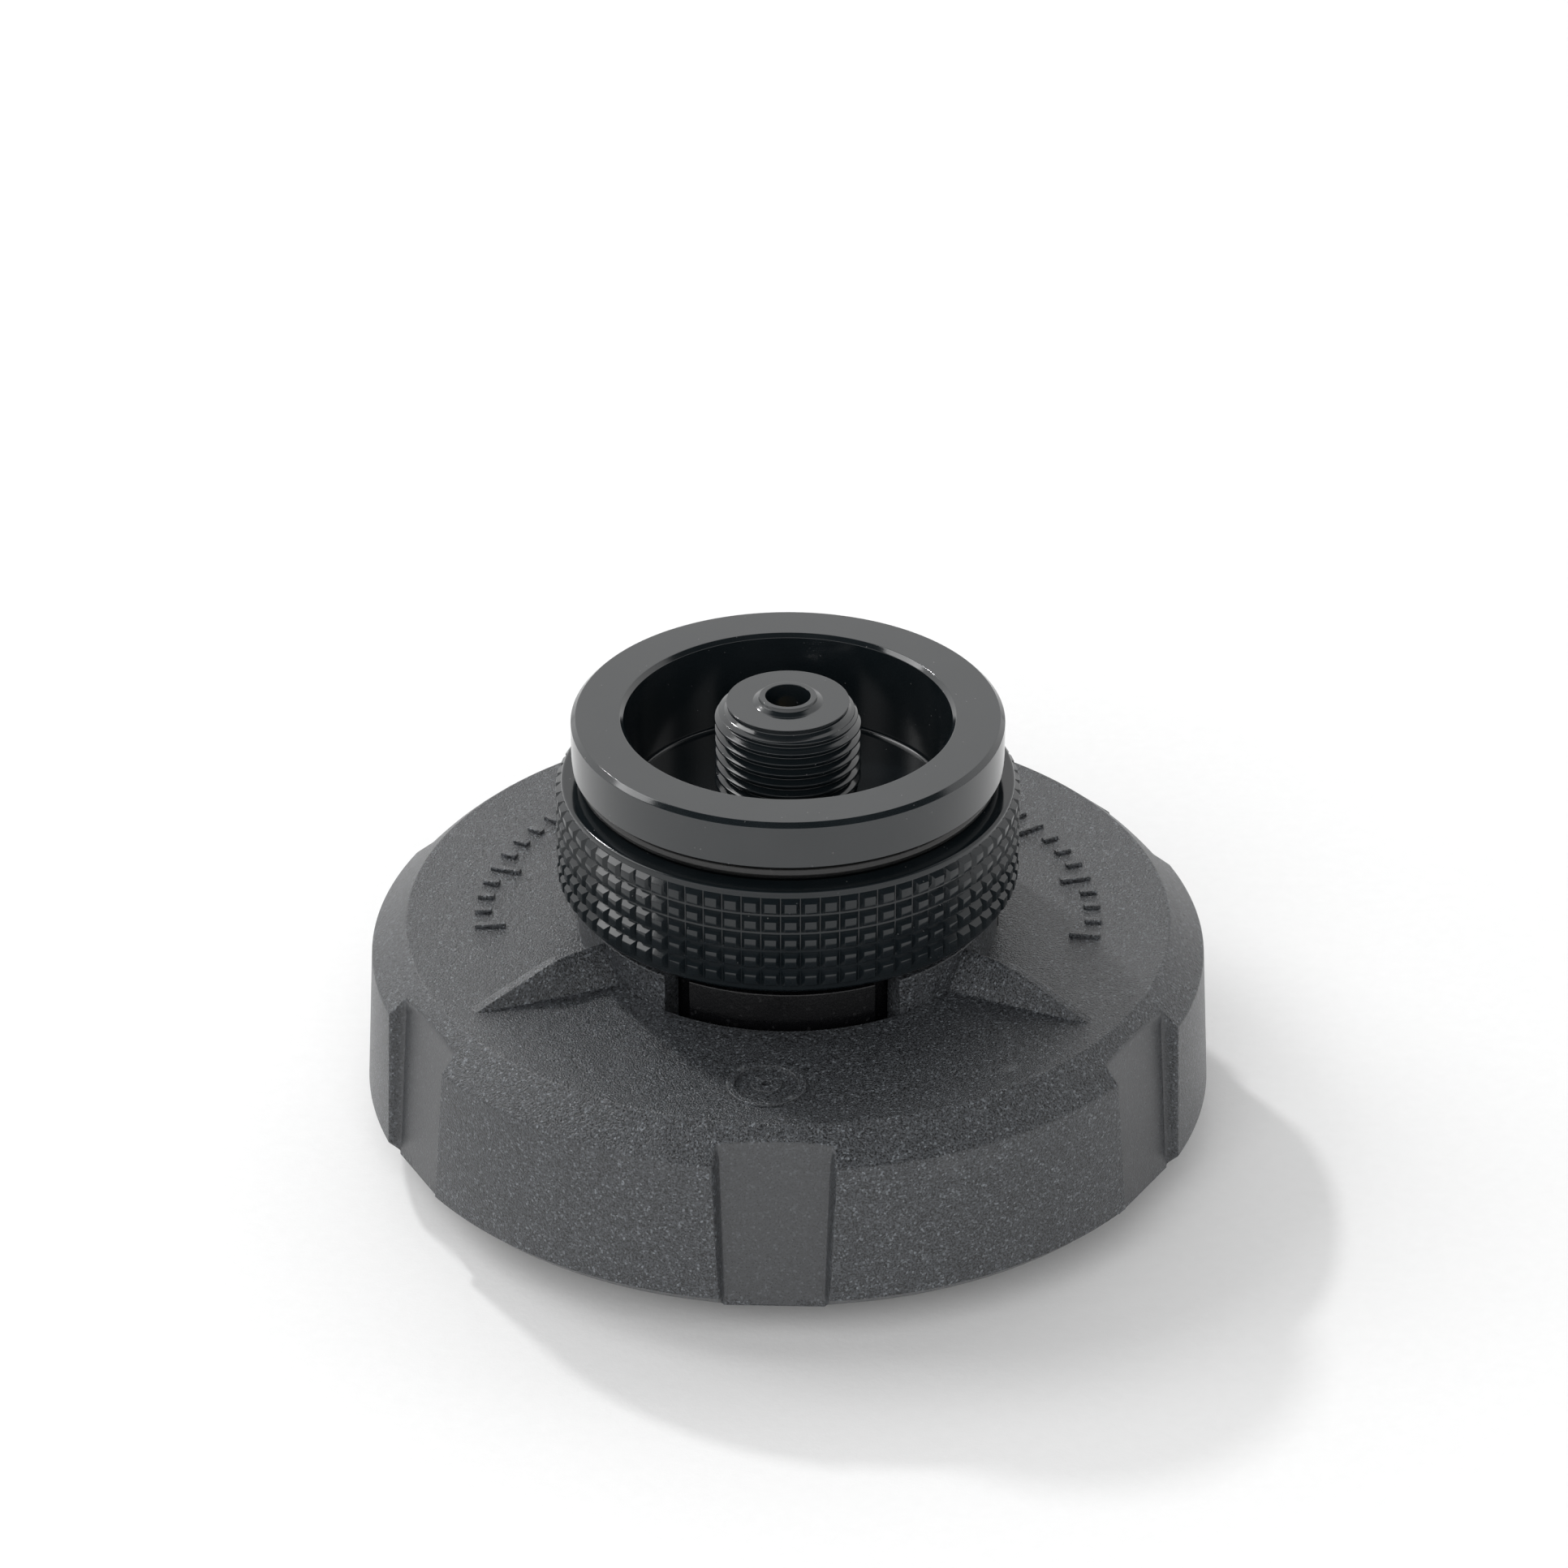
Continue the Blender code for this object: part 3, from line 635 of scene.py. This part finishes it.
KNURL_COLUMNS = 74
KNURL_ROWS = 5
KNURL_DEPTH = 0.42
RING_BORE_R = 15.1
KNURL_LOW_MARGIN = 0.55         # plain bands below and above the studs
KNURL_HIGH_MARGIN = 0.45
# Over half a groove: the height at each level, and its distance from the groove's middle across and up the ring
KNURL_HEIGHTS = [0.0, 0.0, 0.02, 0.395, 0.414, 0.42]
KNURL_ACROSS = [0.0, 0.04, 0.06, 0.305, 0.322, 0.345]
KNURL_UP = [0.0, 0.08, 0.10, 0.365, 0.384, 0.405]


def knurl_line(pitch, count, half_steps):
    """Places along a line of studs, and each one's level in the groove's side, from 0 to 5."""
    places = []
    levels = []
    for i in range(count):
        start = i * pitch
        for level, step in enumerate(half_steps):
            places.append(start + step)
            levels.append(level)
        for level, step in reversed(list(enumerate(half_steps))):
            if level:
                places.append(start + pitch - step)
                levels.append(level)
    return places, levels


def knurled_ring():
    """A sleeve with rows of square studs. Quads at a stud's corner are split along its mitre."""
    root = RING_R - KNURL_DEPTH
    pitch = 2 * pi * RING_R / KNURL_COLUMNS
    low_edge = RING_LOW + KNURL_LOW_MARGIN
    high_edge = RING_HIGH - KNURL_HIGH_MARGIN
    rise = (high_edge - low_edge) / KNURL_ROWS
    across, across_level = knurl_line(pitch, KNURL_COLUMNS, KNURL_ACROSS)
    up, up_level = knurl_line(rise, KNURL_ROWS, KNURL_UP)
    up.append(KNURL_ROWS * rise)
    up_level.append(0)
    columns = len(across)
    points = []
    angles = [a / RING_R for a in across]
    bore = [(RING_BORE_R, RING_LOW + 0.15), (15.25, RING_LOW)]
    bottom = rounded([(15.25, RING_LOW, 0), (root - 0.25, RING_LOW, 0.10), (root, RING_LOW + 0.30, 0.10),
                      (root, low_edge, 0)], closed=False)[1:]
    top = rounded([(root, high_edge, 0), (root, RING_HIGH, 0.24), (15.6, RING_HIGH, 0.1),
                   (RING_BORE_R, RING_HIGH - 0.25, 0.1), (RING_BORE_R, RING_LOW + 1.0, 0)], closed=False)[1:]
    for r, z in bore + bottom[:-1]:
        points += [spot(r, a, z) for a in angles]
    first = len(points) // columns
    for place, level in zip(up, up_level):
        z = low_edge + place
        for a, other in zip(angles, across_level):
            points.append(spot(root + KNURL_HEIGHTS[min(level, other)], a, z))
    last = len(points) // columns - 1
    for r, z in top:
        points += [spot(r, a, z) for a in angles]
    rows = len(points) // columns
    faces = []
    for quad in grid_faces(rows, columns, True, True):
        i, k = divmod(quad[0], columns)
        m = (k + 1) % columns
        if first <= i < last:
            up_now, up_next = up_level[i - first], up_level[i - first + 1]
            side_now, side_next = across_level[k], across_level[m]
            if up_now != up_next and side_now != side_next:
                if (up_next > up_now) == (side_next > side_now):
                    faces += [(quad[0], quad[1], quad[2]), (quad[0], quad[2], quad[3])]
                else:
                    faces += [(quad[0], quad[1], quad[3]), (quad[1], quad[2], quad[3])]
                continue
        faces.append(quad)
    return mesh_piece("knurled_sleeve", points, faces, RING_BLACK, "head", ["knurled_ring"],
                      sharp=30)


knurled_ring()

# ---------------------------------------------------------------- cup, seal and stub

CUP_BEVEL = 0.36
CUP_MOUTH_BEVEL = 0.30
CUP_BORE_R = 12.46
CUP_FLOOR_Z = 28.40
CUP_SIDE_LOW = 32.44
CUP_NECK_R = 14.80
CUP_SOCKET_R = 9.20             # the space for the stem, and its top
CUP_SOCKET_Z = 26.00
CUP_HOLE_R = 4.80
turned("cup", [
    (CUP_BORE_R + CUP_MOUTH_BEVEL, CUP_HIGH, 0.10),
    (CUP_R - CUP_BEVEL, CUP_HIGH, 0.06),
    (CUP_R, CUP_HIGH - CUP_BEVEL, 0.08),
    (CUP_R, CUP_SIDE_LOW, 0.05),
    (CUP_NECK_R, CUP_SIDE_LOW, 0.05),
    (CUP_NECK_R, CUP_LOW, 0.15),
    (CUP_SOCKET_R, CUP_LOW, 0.05),
    (CUP_SOCKET_R, CUP_SOCKET_Z, 0.05),
    (CUP_HOLE_R, CUP_SOCKET_Z, 0.05),
    (CUP_HOLE_R, CUP_FLOOR_Z, 0.05),
    (CUP_BORE_R, CUP_FLOOR_Z, 0.35),
    (CUP_BORE_R, CUP_HIGH - CUP_MOUTH_BEVEL, 0.08),
], ROUND, BLACK, "head", ["valve_cup"])

SEAL_WIRE = 0.55
SEAL_MIDDLE_R = SEAL_R - SEAL_WIRE
SEAL_MIDDLE_Z = (SEAL_LOW + SEAL_HIGH) / 2
turned("groove_seal", [
    (SEAL_MIDDLE_R + SEAL_WIRE * cos(a), SEAL_MIDDLE_Z + SEAL_WIRE * sin(a), 0)
    for a in (-2 * pi * i / 20 for i in range(20))
], ROUND, RUBBER, "head", ["neck_seal"])

THREAD_PITCH = 0.907
THREAD_ROOT = 0.50
THREAD_TOP_Z = STUB_HIGH - 1.15
THREAD_FOOT_Z = 29.6
STUB_ROOT_R = STUB_R - THREAD_ROOT
STUB_BORE_R = 3.30
STUB_BORE_TOP_Z = 34.50
STUB_NECK_R = 4.50
STUB_NECK_Z = 28.7


def thread_height(phase):
    """0 at the root and 1 at the crest, over one pitch: flat crest, straight flanks, rounded root."""
    away = np.abs(phase % 1.0 - 0.5) * 2
    return 1 - soft_step(away, 0.16, 0.80, 0.07)


def threaded_stub():
    """The stub with its raised port, and a helical thread that runs in and out."""
    steps = 240
    top_z = STUB_HIGH - 0.44
    cap = rounded([(1.72, STUB_BORE_TOP_Z, 0), (1.72, STUB_HIGH, 0.05), (2.16, STUB_HIGH, 0.05),
                   (2.24, top_z + 0.20, 0.10), (2.66, top_z, 0.10), (4.67, top_z, 0.03),
                   (4.60, top_z - 0.16, 0.04), (4.55, top_z - 0.42, 0.10), (4.80, top_z - 0.62, 0.10),
                   (5.00, top_z - 0.70, 0)], closed=False)
    thread = [(STUB_ROOT_R, z) for z in np.arange(top_z - 0.72, THREAD_FOOT_Z, -0.028)]
    foot = rounded([(STUB_ROOT_R, THREAD_FOOT_Z, 0), (STUB_ROOT_R, STUB_NECK_Z, 0.25),
                    (STUB_NECK_R, STUB_NECK_Z, 0.05), (STUB_NECK_R, STUB_LOW, 0.05), (STUB_BORE_R, STUB_LOW, 0.05),
                    (STUB_BORE_R, STUB_BORE_TOP_Z, 0.05), (1.70, STUB_BORE_TOP_Z, 0)], closed=False)
    profile = cap + thread + foot[:-1]
    turn = np.arange(steps) / steps
    points = []
    for r, z in profile:
        radius = np.full(steps, r)
        if THREAD_FOOT_Z < z < top_z - 0.6 and r > 4.9:
            run_in = np.clip((THREAD_TOP_Z + 0.55 - z - 0.9 * turn) / 0.35, 0.0, 1.0)
            run_out = np.clip((z - THREAD_FOOT_Z) / 0.8, 0.0, 1.0)
            crest = thread_height((z - THREAD_TOP_Z) / THREAD_PITCH + turn)
            radius = r + THREAD_ROOT * crest * np.minimum(run_in, run_out)
        for k in range(steps):
            angle = 2 * pi * turn[k] + pi / 2
            points.append((radius[k] * cos(angle), radius[k] * sin(angle), z))
    faces = [f[::-1] for f in grid_faces(len(profile), steps, True, True)]
    mesh_piece("stub", points, faces, BLACK, "head", ["threaded_stub"], sharp=50)


threaded_stub()

# ---------------------------------------------------------------- threaded socket, its lugs and screws

SOCKET_PITCH = 1.27             # 1 inch, 20 to the inch
SOCKET_THREAD_R = 12.30
SOCKET_THREAD_DEPTH = 0.66
SOCKET_SHOULDER_Z = 15.0
FLANGE_R = 22.5
FLANGE_LOW = 12.2
FLANGE_TOP = PLATE_UNDER_Z - 0.3
HUB_R = COLLAR_BORE_R - 0.3
STEM_HOLE_R = 9.2


def threaded_socket():
    """The socket with its flange, and a thread inside that fades at both ends."""
    steps = FINE
    outer = rounded([(STEM_HOLE_R, SOCKET_SHOULDER_Z, 0), (STEM_HOLE_R, SOCKET_HIGH, 0.15),
                     (HUB_R, SOCKET_HIGH, 0.25), (HUB_R, FLANGE_TOP, 0.20), (FLANGE_R, FLANGE_TOP, 0.25),
                     (FLANGE_R, FLANGE_LOW, 0.40), (16.0, FLANGE_LOW, 0.40), (16.0, SOCKET_LOW, 0.35),
                     (12.85, SOCKET_LOW, 0.10), (12.30, SOCKET_LOW + 0.50, 0)], closed=False)
    thread = [(SOCKET_THREAD_R, z) for z in np.arange(SOCKET_LOW + 0.55, SOCKET_SHOULDER_Z - 0.2, 0.055)]
    profile = outer + thread + [(SOCKET_THREAD_R, SOCKET_SHOULDER_Z)]
    turn = np.arange(steps) / steps
    points = []
    for i, (r, z) in enumerate(profile):
        radius = np.full(steps, r)
        if len(outer) <= i < len(outer) + len(thread):
            fade = min(1.0, (z - SOCKET_LOW - 0.4) / 0.8, (SOCKET_SHOULDER_Z - 1.2 - z) / 0.8)
            inward = SOCKET_THREAD_DEPTH * thread_height(z / SOCKET_PITCH - turn) * max(0.0, fade)
            radius = r + SOCKET_THREAD_DEPTH / 2 - inward if fade > 0 else radius
            radius = r + (radius - r) * max(0.0, fade)
        for k in range(steps):
            angle = 2 * pi * turn[k]
            points.append((radius[k] * cos(angle), radius[k] * sin(angle), z))
    faces = [f[::-1] for f in grid_faces(len(profile), steps, True, True)]
    mesh_piece("socket", points, faces, SOCKET_BLACK, "wheel", ["threaded_socket"], sharp=50)


BEND_CUTS = 24


def bent_block(name, r_in, r_out, z_low, z_high, half, centre, finish, body, edge=0.25):
    """A block bent round the axis, with rounded edges. Its ends are at centre - half and centre + half."""
    middle = (r_in + r_out) / 2
    shape = bmesh.new()
    bmesh.ops.create_cube(shape, size=1.0)
    bmesh.ops.scale(shape, vec=(2 * half * middle, r_out - r_in, z_high - z_low), verts=shape.verts)
    bmesh.ops.bevel(shape, geom=shape.edges[:], offset=edge, segments=4, profile=0.5, affect="EDGES")
    for i in range(1, BEND_CUTS):
        x = (i / BEND_CUTS - 0.5) * 2 * (half * middle - edge * 1.2)
        whole = shape.verts[:] + shape.edges[:] + shape.faces[:]
        bmesh.ops.bisect_plane(shape, geom=whole, plane_co=(x, 0, 0), plane_no=(1, 0, 0))
    for vert in shape.verts:
        x, y, z = vert.co
        vert.co = spot(middle + y, centre + x / middle, z + (z_low + z_high) / 2)
    bmesh.ops.recalc_face_normals(shape, faces=shape.faces)
    # The cuts leave points and faces in an order that changes from run to run, so both are sorted
    ordered = sorted(shape.verts, key=lambda vert: tuple(vert.co))
    index = {vert: i for i, vert in enumerate(ordered)}
    points = [tuple(vert.co) for vert in ordered]
    faces = sorted(([index[vert] for vert in face.verts] for face in shape.faces), key=sorted)
    shape.free()
    return mesh_piece(name, points, faces, finish, body, sharp=45)


SCREW_CIRCLE_R = 19.2
SCREW_TOP_Z = 16.8
SCREW_R = 1.2
SCREW_HEAD_R = 2.1
SCREW_HEAD_HIGH = 1.5
CROSS_LONG = 2.5
CROSS_WIDE = 0.65
CROSS_DEEP = 1.7                # the cutter's height; half of it goes into the head


def socket_screw(number, angle):
    """A pan-head screw from below, with a cross recess."""
    x, y, _ = spot(SCREW_CIRCLE_R, angle)
    head_top = FLANGE_LOW - 0.3
    low = head_top - SCREW_HEAD_HIGH
    made = turned(f"screw_{number}", [
        (0.0, SCREW_TOP_Z, 0), (SCREW_R, SCREW_TOP_Z, 0.15), (SCREW_R, head_top, 0.05),
        (SCREW_HEAD_R, head_top, 0.08), (SCREW_HEAD_R, low + 0.5, 0.25), (1.5, low, 0.35), (0.0, low, 0)],
        TINY, STEEL, "wheel", [f"socket_screw_{number}"], closed=False, centre=(x, y))
    for size in ((CROSS_WIDE, CROSS_LONG), (CROSS_LONG, CROSS_WIDE)):
        shape = bmesh.new()
        bmesh.ops.create_cube(shape, size=1.0)
        bmesh.ops.scale(shape, vec=(size[0] * MM, size[1] * MM, CROSS_DEEP * MM), verts=shape.verts)
        bmesh.ops.translate(shape, vec=(x * MM, y * MM, low * MM), verts=shape.verts)
        mesh = bpy.data.meshes.new("drive")
        shape.to_mesh(mesh)
        shape.free()
        cutter = bpy.data.objects.new("drive", mesh)
        bpy.context.scene.collection.objects.link(cutter)
        cut = made.modifiers.new("Cut", "BOOLEAN")
        cut.operation = "DIFFERENCE"
        cut.solver = "EXACT"
        cut.object = cutter
        bpy.context.view_layer.update()
        ready = made.evaluated_get(bpy.context.evaluated_depsgraph_get())
        result = bpy.data.meshes.new_from_object(ready)
        made.modifiers.clear()
        made.data = result
        bpy.data.objects.remove(cutter)
    made.data.set_sharp_from_angle(angle=radians(35))


threaded_socket()
for i, centre in enumerate((0.0, 2 * pi / 3, 4 * pi / 3)):
    bent_block(f"lug_{i + 1}", HUB_R - 0.6, 15.5, FLANGE_TOP - 0.5, SOCKET_HIGH - 0.1, LUG_HALF, centre,
               SOCKET_BLACK, "wheel", edge=0.12)
for i, angle in enumerate((RIB_ANGLES[5], RIB_ANGLES[1], RIB_ANGLES[3])):
    socket_screw(i + 1, angle)
WEB_IN_R = 22.9
WEB_DEEP = 4.0
WEB_HALF = 0.8 / 25.8           # half its thickness, as an angle at its middle
for k in range(6):
    angle = (k + 0.5) * pi / 3
    bent_block(f"web_{k + 1}", WEB_IN_R, INNER_TOP_R + 0.4, PLATE_UNDER_Z - WEB_DEEP, PLATE_UNDER_Z + 0.6,
               WEB_HALF, angle, PLASTIC, "wheel", edge=0.2)

# ---------------------------------------------------------------- stem and the pieces round it

O_GROOVE_IN_R = 5.75
O_GROOVE_OUT_R = 7.25
O_GROOVE_Z = 24.35
STEM_TUBE_R = 8.9
STEM_FLANGE_HIGH = 13.8
STEM_FLANGE_LOW = 11.0
NOSE_R = 6.0
STEM_BORE_R = 3.2
NOSE_BORE_R = 1.7
NOSE_BORE_TOP_Z = 13.0
turned("stem", [
    (STEM_BORE_R, STEM_HIGH, 0.1), (O_GROOVE_IN_R, STEM_HIGH, 0.08), (O_GROOVE_IN_R, O_GROOVE_Z, 0.12),
    (O_GROOVE_OUT_R, O_GROOVE_Z, 0.12), (O_GROOVE_OUT_R, STEM_HIGH, 0.08), (STEM_TUBE_R, STEM_HIGH, 0.3),
    (STEM_TUBE_R, STEM_FLANGE_HIGH, 0.08), (STEM_R, STEM_FLANGE_HIGH, 0.2), (STEM_R, STEM_FLANGE_LOW, 0.2),
    (NOSE_R, STEM_FLANGE_LOW, 0.3), (NOSE_R, STEM_LOW + 0.5, 0.15), (NOSE_R - 0.5, STEM_LOW, 0.15),
    (NOSE_BORE_R, STEM_LOW, 0.2), (NOSE_BORE_R, NOSE_BORE_TOP_Z, 0.1), (STEM_BORE_R, NOSE_BORE_TOP_Z, 0.1),
], FINE, BRASS, "head", ["swivel_stem"])
turned("stem_ring", [(6.5 + 0.6 * cos(a), 25.1 + 0.6 * sin(a), 0) for a in (-2 * pi * i / 16 for i in range(16))],
       128, RUBBER, "head", ["stem_o_ring"])


def ring_piece(name, node, r_in, r_out, z_low, z_high, edge, finish, steps=160):
    """A flat ring of the head, with rounded edges."""
    corners = [(r_in, z_high, edge), (r_out, z_high, edge), (r_out, z_low, edge), (r_in, z_low, edge)]
    return turned(name, corners, steps, finish, "head", [node])


ring_piece("nose_gasket", "cylinder_gasket", 6.3, 11.6, 9.1, 10.7, 0.25, RUBBER)
ring_piece("washer_low", "lower_thrust_washer", 9.2, 11.7, 14.0, 14.8, 0.15, ACETAL)
ring_piece("washer_high", "upper_thrust_washer", 9.2, 13.6, 21.2, 21.9, 0.15, ACETAL)
ring_piece("port_seal", "stub_seal", 1.7, 3.0, 33.2, 34.2, 0.15, RUBBER, SMALL)
ring_piece("plug", "spring_plug", 1.1, 3.0, 26.3, 27.5, 0.12, BRASS, SMALL)
turned("opener", [
    (0.0, 14.8, 0), (2.9, 14.8, 0.15), (2.9, 13.3, 0.15), (1.0, 13.3, 0.25), (1.0, 5.5, 0.15), (0.7, 5.0, 0.15),
    (0.0, 5.0, 0)], SMALL, BRASS, "head", ["opening_pin"], closed=False)
turned("filter", [(0.0, 17.4, 0), (2.9, 17.4, 0.3), (2.9, 15.2, 0.3), (0.0, 15.2, 0)], SMALL, BRONZE, "head",
       ["gas_filter"], closed=False)
turned("pin", [
    (0.0, 35.2, 0), (1.3, 35.2, 0.3), (1.3, 32.9, 0.08), (2.6, 32.9, 0.12), (2.6, 31.7, 0.12), (0.8, 31.7, 0.1),
    (0.8, 26.8, 0.2), (0.0, 26.8, 0)], SMALL, BRASS, "pin", ["valve_pin"], closed=False)


SPRING_R = 1.7
SPRING_WIRE = 0.25
SPRING_TURNS = 3


def valve_spring():
    """The coil under the pin's head, which on the real valve shortens as the pin goes down."""
    wire = SPRING_WIRE
    low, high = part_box("valve_spring")
    z_low, z_high = low[2] / MM + wire, high[2] / MM - wire
    turns, along, around = SPRING_TURNS, 40, 12
    points = []
    for i in range(turns * along + 1):
        angle = 2 * pi * i / along
        z = z_low + (z_high - z_low) * i / (turns * along)
        for k in range(around):
            a = 2 * pi * k / around
            points.append(spot(SPRING_R + wire * cos(a), pi / 2 + angle, z + wire * sin(a)))
    rows = turns * along + 1
    faces = grid_faces(rows, around, False, True)
    faces.append(tuple(range(around)))
    faces.append(tuple(range((rows - 1) * around, rows * around))[::-1])
    made = mesh_piece("spring", points, faces, STEEL, "head", ["valve_spring"], sharp=50, weld=True)
    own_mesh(made)


valve_spring()

# ---------------------------------------------------------------- plain marks on the wheel

MARK_HEIGHT = 0.28
MARK_IN_R = 21.8
MARK_OUT_R = 24.2
SHORTER = 1.1                   # how much shorter a short mark is than a long one
MARK_HALF = 0.30
MARKS_A_SIDE = 17
FIRST_MARK = 84                 # in degrees from the front
MARK_STEP = 5.2
DIAL_R = 24.2
DIAL_ANGLE = radians(-2)


def raised_ring(name, x, y, r_in, r_out, height):
    """A low ring that stands on the wheel's top."""
    z = top_height(hypot(x, y))
    corners = [(r_out, z - 0.1, 0), (r_out, z + height, 0.07), (r_in, z + height, 0.07), (r_in, z - 0.1, 0)]
    profile = rounded(corners, closed=False, steps=3)[::-1]
    steps = SMALL
    turns = [2 * pi * k / steps for k in range(steps)]
    points = [(x + r * cos(turn), y + r * sin(turn), h) for r, h in profile for turn in turns]
    faces = [f[::-1] for f in grid_faces(len(profile), steps, True, True)]
    return mesh_piece(name, points, faces, PLASTIC, "wheel", sharp=60)


def dash(name, centre, half, r_in, r_out):
    """A low bar that points at the axis."""
    z = top_height((r_in + r_out) / 2)
    bent_block(name, r_in, r_out, z - 0.3, z + MARK_HEIGHT, half / ((r_in + r_out) / 2), centre,
               PLASTIC, "wheel", edge=0.1)


def marks():
    """A ring with a dot at the front, and a plain scale at each side."""
    x, y, _ = spot(DIAL_R, DIAL_ANGLE)
    raised_ring("dial_ring", x, y, 2.35, 2.95, MARK_HEIGHT)
    raised_ring("dial_dot", x, y, 0.35, 1.15, MARK_HEIGHT)
    for side in (-1, 1):
        for i in range(MARKS_A_SIDE):
            angle = side * radians(FIRST_MARK + MARK_STEP * i)
            inner = MARK_IN_R if i % 4 == 0 else MARK_IN_R + SHORTER
            dash(f"tick_{'left' if side < 0 else 'right'}_{i + 1}", angle, MARK_HALF, inner, MARK_OUT_R)


marks()

# ---------------------------------------------------------------- camera, floor and light

ELEVATION = radians(30.32)
AZIMUTH = radians(1.8)
DISTANCE = 0.4369
TARGET = Vector((0.0, 0.0, 0.030))
LENS = 131.57
SHIFT_X = -0.0025

# Brightness of the studio's walls and ceiling, and the power of its lamps in watts
FRONT_LIGHT = 1.15
BACK_LIGHT = 1.18
CEILING_FRONT = 0.80
CEILING_BACK = 0.95
DARK_PATCH = 0.04
DARK_TOWARDS = (0.0, -0.16, 0.987)
DARK_SIDEWAYS = 0.30            # under 1 the patch is wider sideways than front to back
LEFT_LIGHT = 1.10
RIGHT_LIGHT = 0.92
KEY_POWER = 4.4
FILL_POWER = 3.4
FRONT_POWER = 6.8
LAMP_DISTANCE = 1.2


def camera():
    """The camera at the photographed angle."""
    lens = bpy.data.cameras.new("camera")
    lens.lens = LENS
    lens.sensor_width = 36.0
    lens.shift_x = SHIFT_X
    lens.clip_start = 0.01
    made = bpy.data.objects.new("camera", lens)
    bpy.context.scene.collection.objects.link(made)
    away = Vector((sin(AZIMUTH) * cos(ELEVATION), -cos(AZIMUTH) * cos(ELEVATION), sin(ELEVATION)))
    made.location = TARGET + away * DISTANCE
    made.rotation_euler = away.to_track_quat("Z", "Y").to_euler()
    bpy.context.scene.camera = made


def floor():
    """A sheet of pale paper."""
    f = Finish("paper", roughness=0.9, base_color=(0.86, 0.86, 0.86, 1.0))
    fibre = f.noise(0.0012, 4.0, 0.7)
    f.set("Base Color", f.mix(f.remap(fibre, 0.3, 0.7), (0.85, 0.85, 0.85), (0.87, 0.87, 0.87)))
    f.set("Normal", f.bump(fibre, 0.00008, 0.35))
    mesh = bpy.data.meshes.new("ground")
    shape = bmesh.new()
    bmesh.ops.create_grid(shape, x_segments=8, y_segments=8, size=3.0)
    shape.to_mesh(mesh)
    shape.free()
    made = bpy.data.objects.new("ground", mesh)
    bpy.context.scene.collection.objects.link(made)
    mesh.materials.append(f.material)


def soft_light(name, direction, size, power):
    """A round soft lamp that faces the part."""
    data = bpy.data.lights.new(name, "AREA")
    data.shape = "DISK"
    data.size = size
    data.energy = power
    made = bpy.data.objects.new(name, data)
    bpy.context.scene.collection.objects.link(made)
    towards = Vector(direction).normalized()
    made.location = towards * LAMP_DISTANCE + Vector((0, 0, 0.02))
    made.rotation_euler = towards.to_track_quat("Z", "Y").to_euler()
    return made


def light():
    """A bright studio tent with one dark patch overhead, and three lamps: two behind and left, one in front."""
    world = bpy.data.worlds.new("studio")
    world.use_nodes = True
    tree = world.node_tree
    place = tree.nodes.new("ShaderNodeTexCoord").outputs["Generated"]

    def vector_maths(operation, value, number=(0.0, 0.0, 0.0)):
        made = tree.nodes.new("ShaderNodeVectorMath")
        made.operation = operation
        tree.links.new(value, made.inputs[0])
        made.inputs[1].default_value = number
        return made.outputs

    def between(value, start, end, low, high):
        made = tree.nodes.new("ShaderNodeMapRange")
        made.interpolation_type = "SMOOTHSTEP"
        tree.links.new(value, made.inputs["Value"])
        made.inputs["From Min"].default_value = start
        made.inputs["From Max"].default_value = end
        for name, number in (("To Min", low), ("To Max", high)):
            if isinstance(number, float):
                made.inputs[name].default_value = number
            else:
                tree.links.new(number, made.inputs[name])
        return made.outputs["Result"]

    parts = tree.nodes.new("ShaderNodeSeparateXYZ")
    tree.links.new(place, parts.inputs["Vector"])
    low = between(parts.outputs["Y"], -0.3, 0.5, FRONT_LIGHT, BACK_LIGHT)
    high = between(parts.outputs["Y"], -0.1, 0.35, CEILING_FRONT, CEILING_BACK)
    strength = between(parts.outputs["Z"], 0.38, 0.72, low, high)
    wide = vector_maths("MULTIPLY", place, (DARK_SIDEWAYS, 1.0, 1.0))["Vector"]
    wide = vector_maths("NORMALIZE", wide)["Vector"]
    towards = vector_maths("DOT_PRODUCT", wide, DARK_TOWARDS)["Value"]
    patch = between(towards, 0.80, 0.93, 1.0, 0.0)
    sided = tree.nodes.new("ShaderNodeMath")
    sided.operation = "MULTIPLY"
    tree.links.new(strength, sided.inputs[0])
    tree.links.new(between(parts.outputs["X"], -0.9, 0.9, LEFT_LIGHT, RIGHT_LIGHT), sided.inputs[1])
    strength = between(patch, 0.0, 1.0, DARK_PATCH, sided.outputs["Value"])
    background = tree.nodes["Background"]
    background.inputs["Color"].default_value = (1.0, 1.0, 1.0, 1.0)
    tree.links.new(strength, background.inputs["Strength"])
    bpy.context.scene.world = world

    soft_light("key", (-0.62, 0.85, 1.0), 0.09, KEY_POWER)
    soft_light("fill", (-0.97, 0.2, 1.0), 0.60, FILL_POWER)
    front = soft_light("front", (-0.10, -0.75, 0.66), 1.10, FRONT_POWER)
    front.visible_glossy = False    # it lights matt surfaces, and polished ones don't mirror it


camera()
floor()
light()
bpy.context.scene.view_settings.view_transform = "Standard"
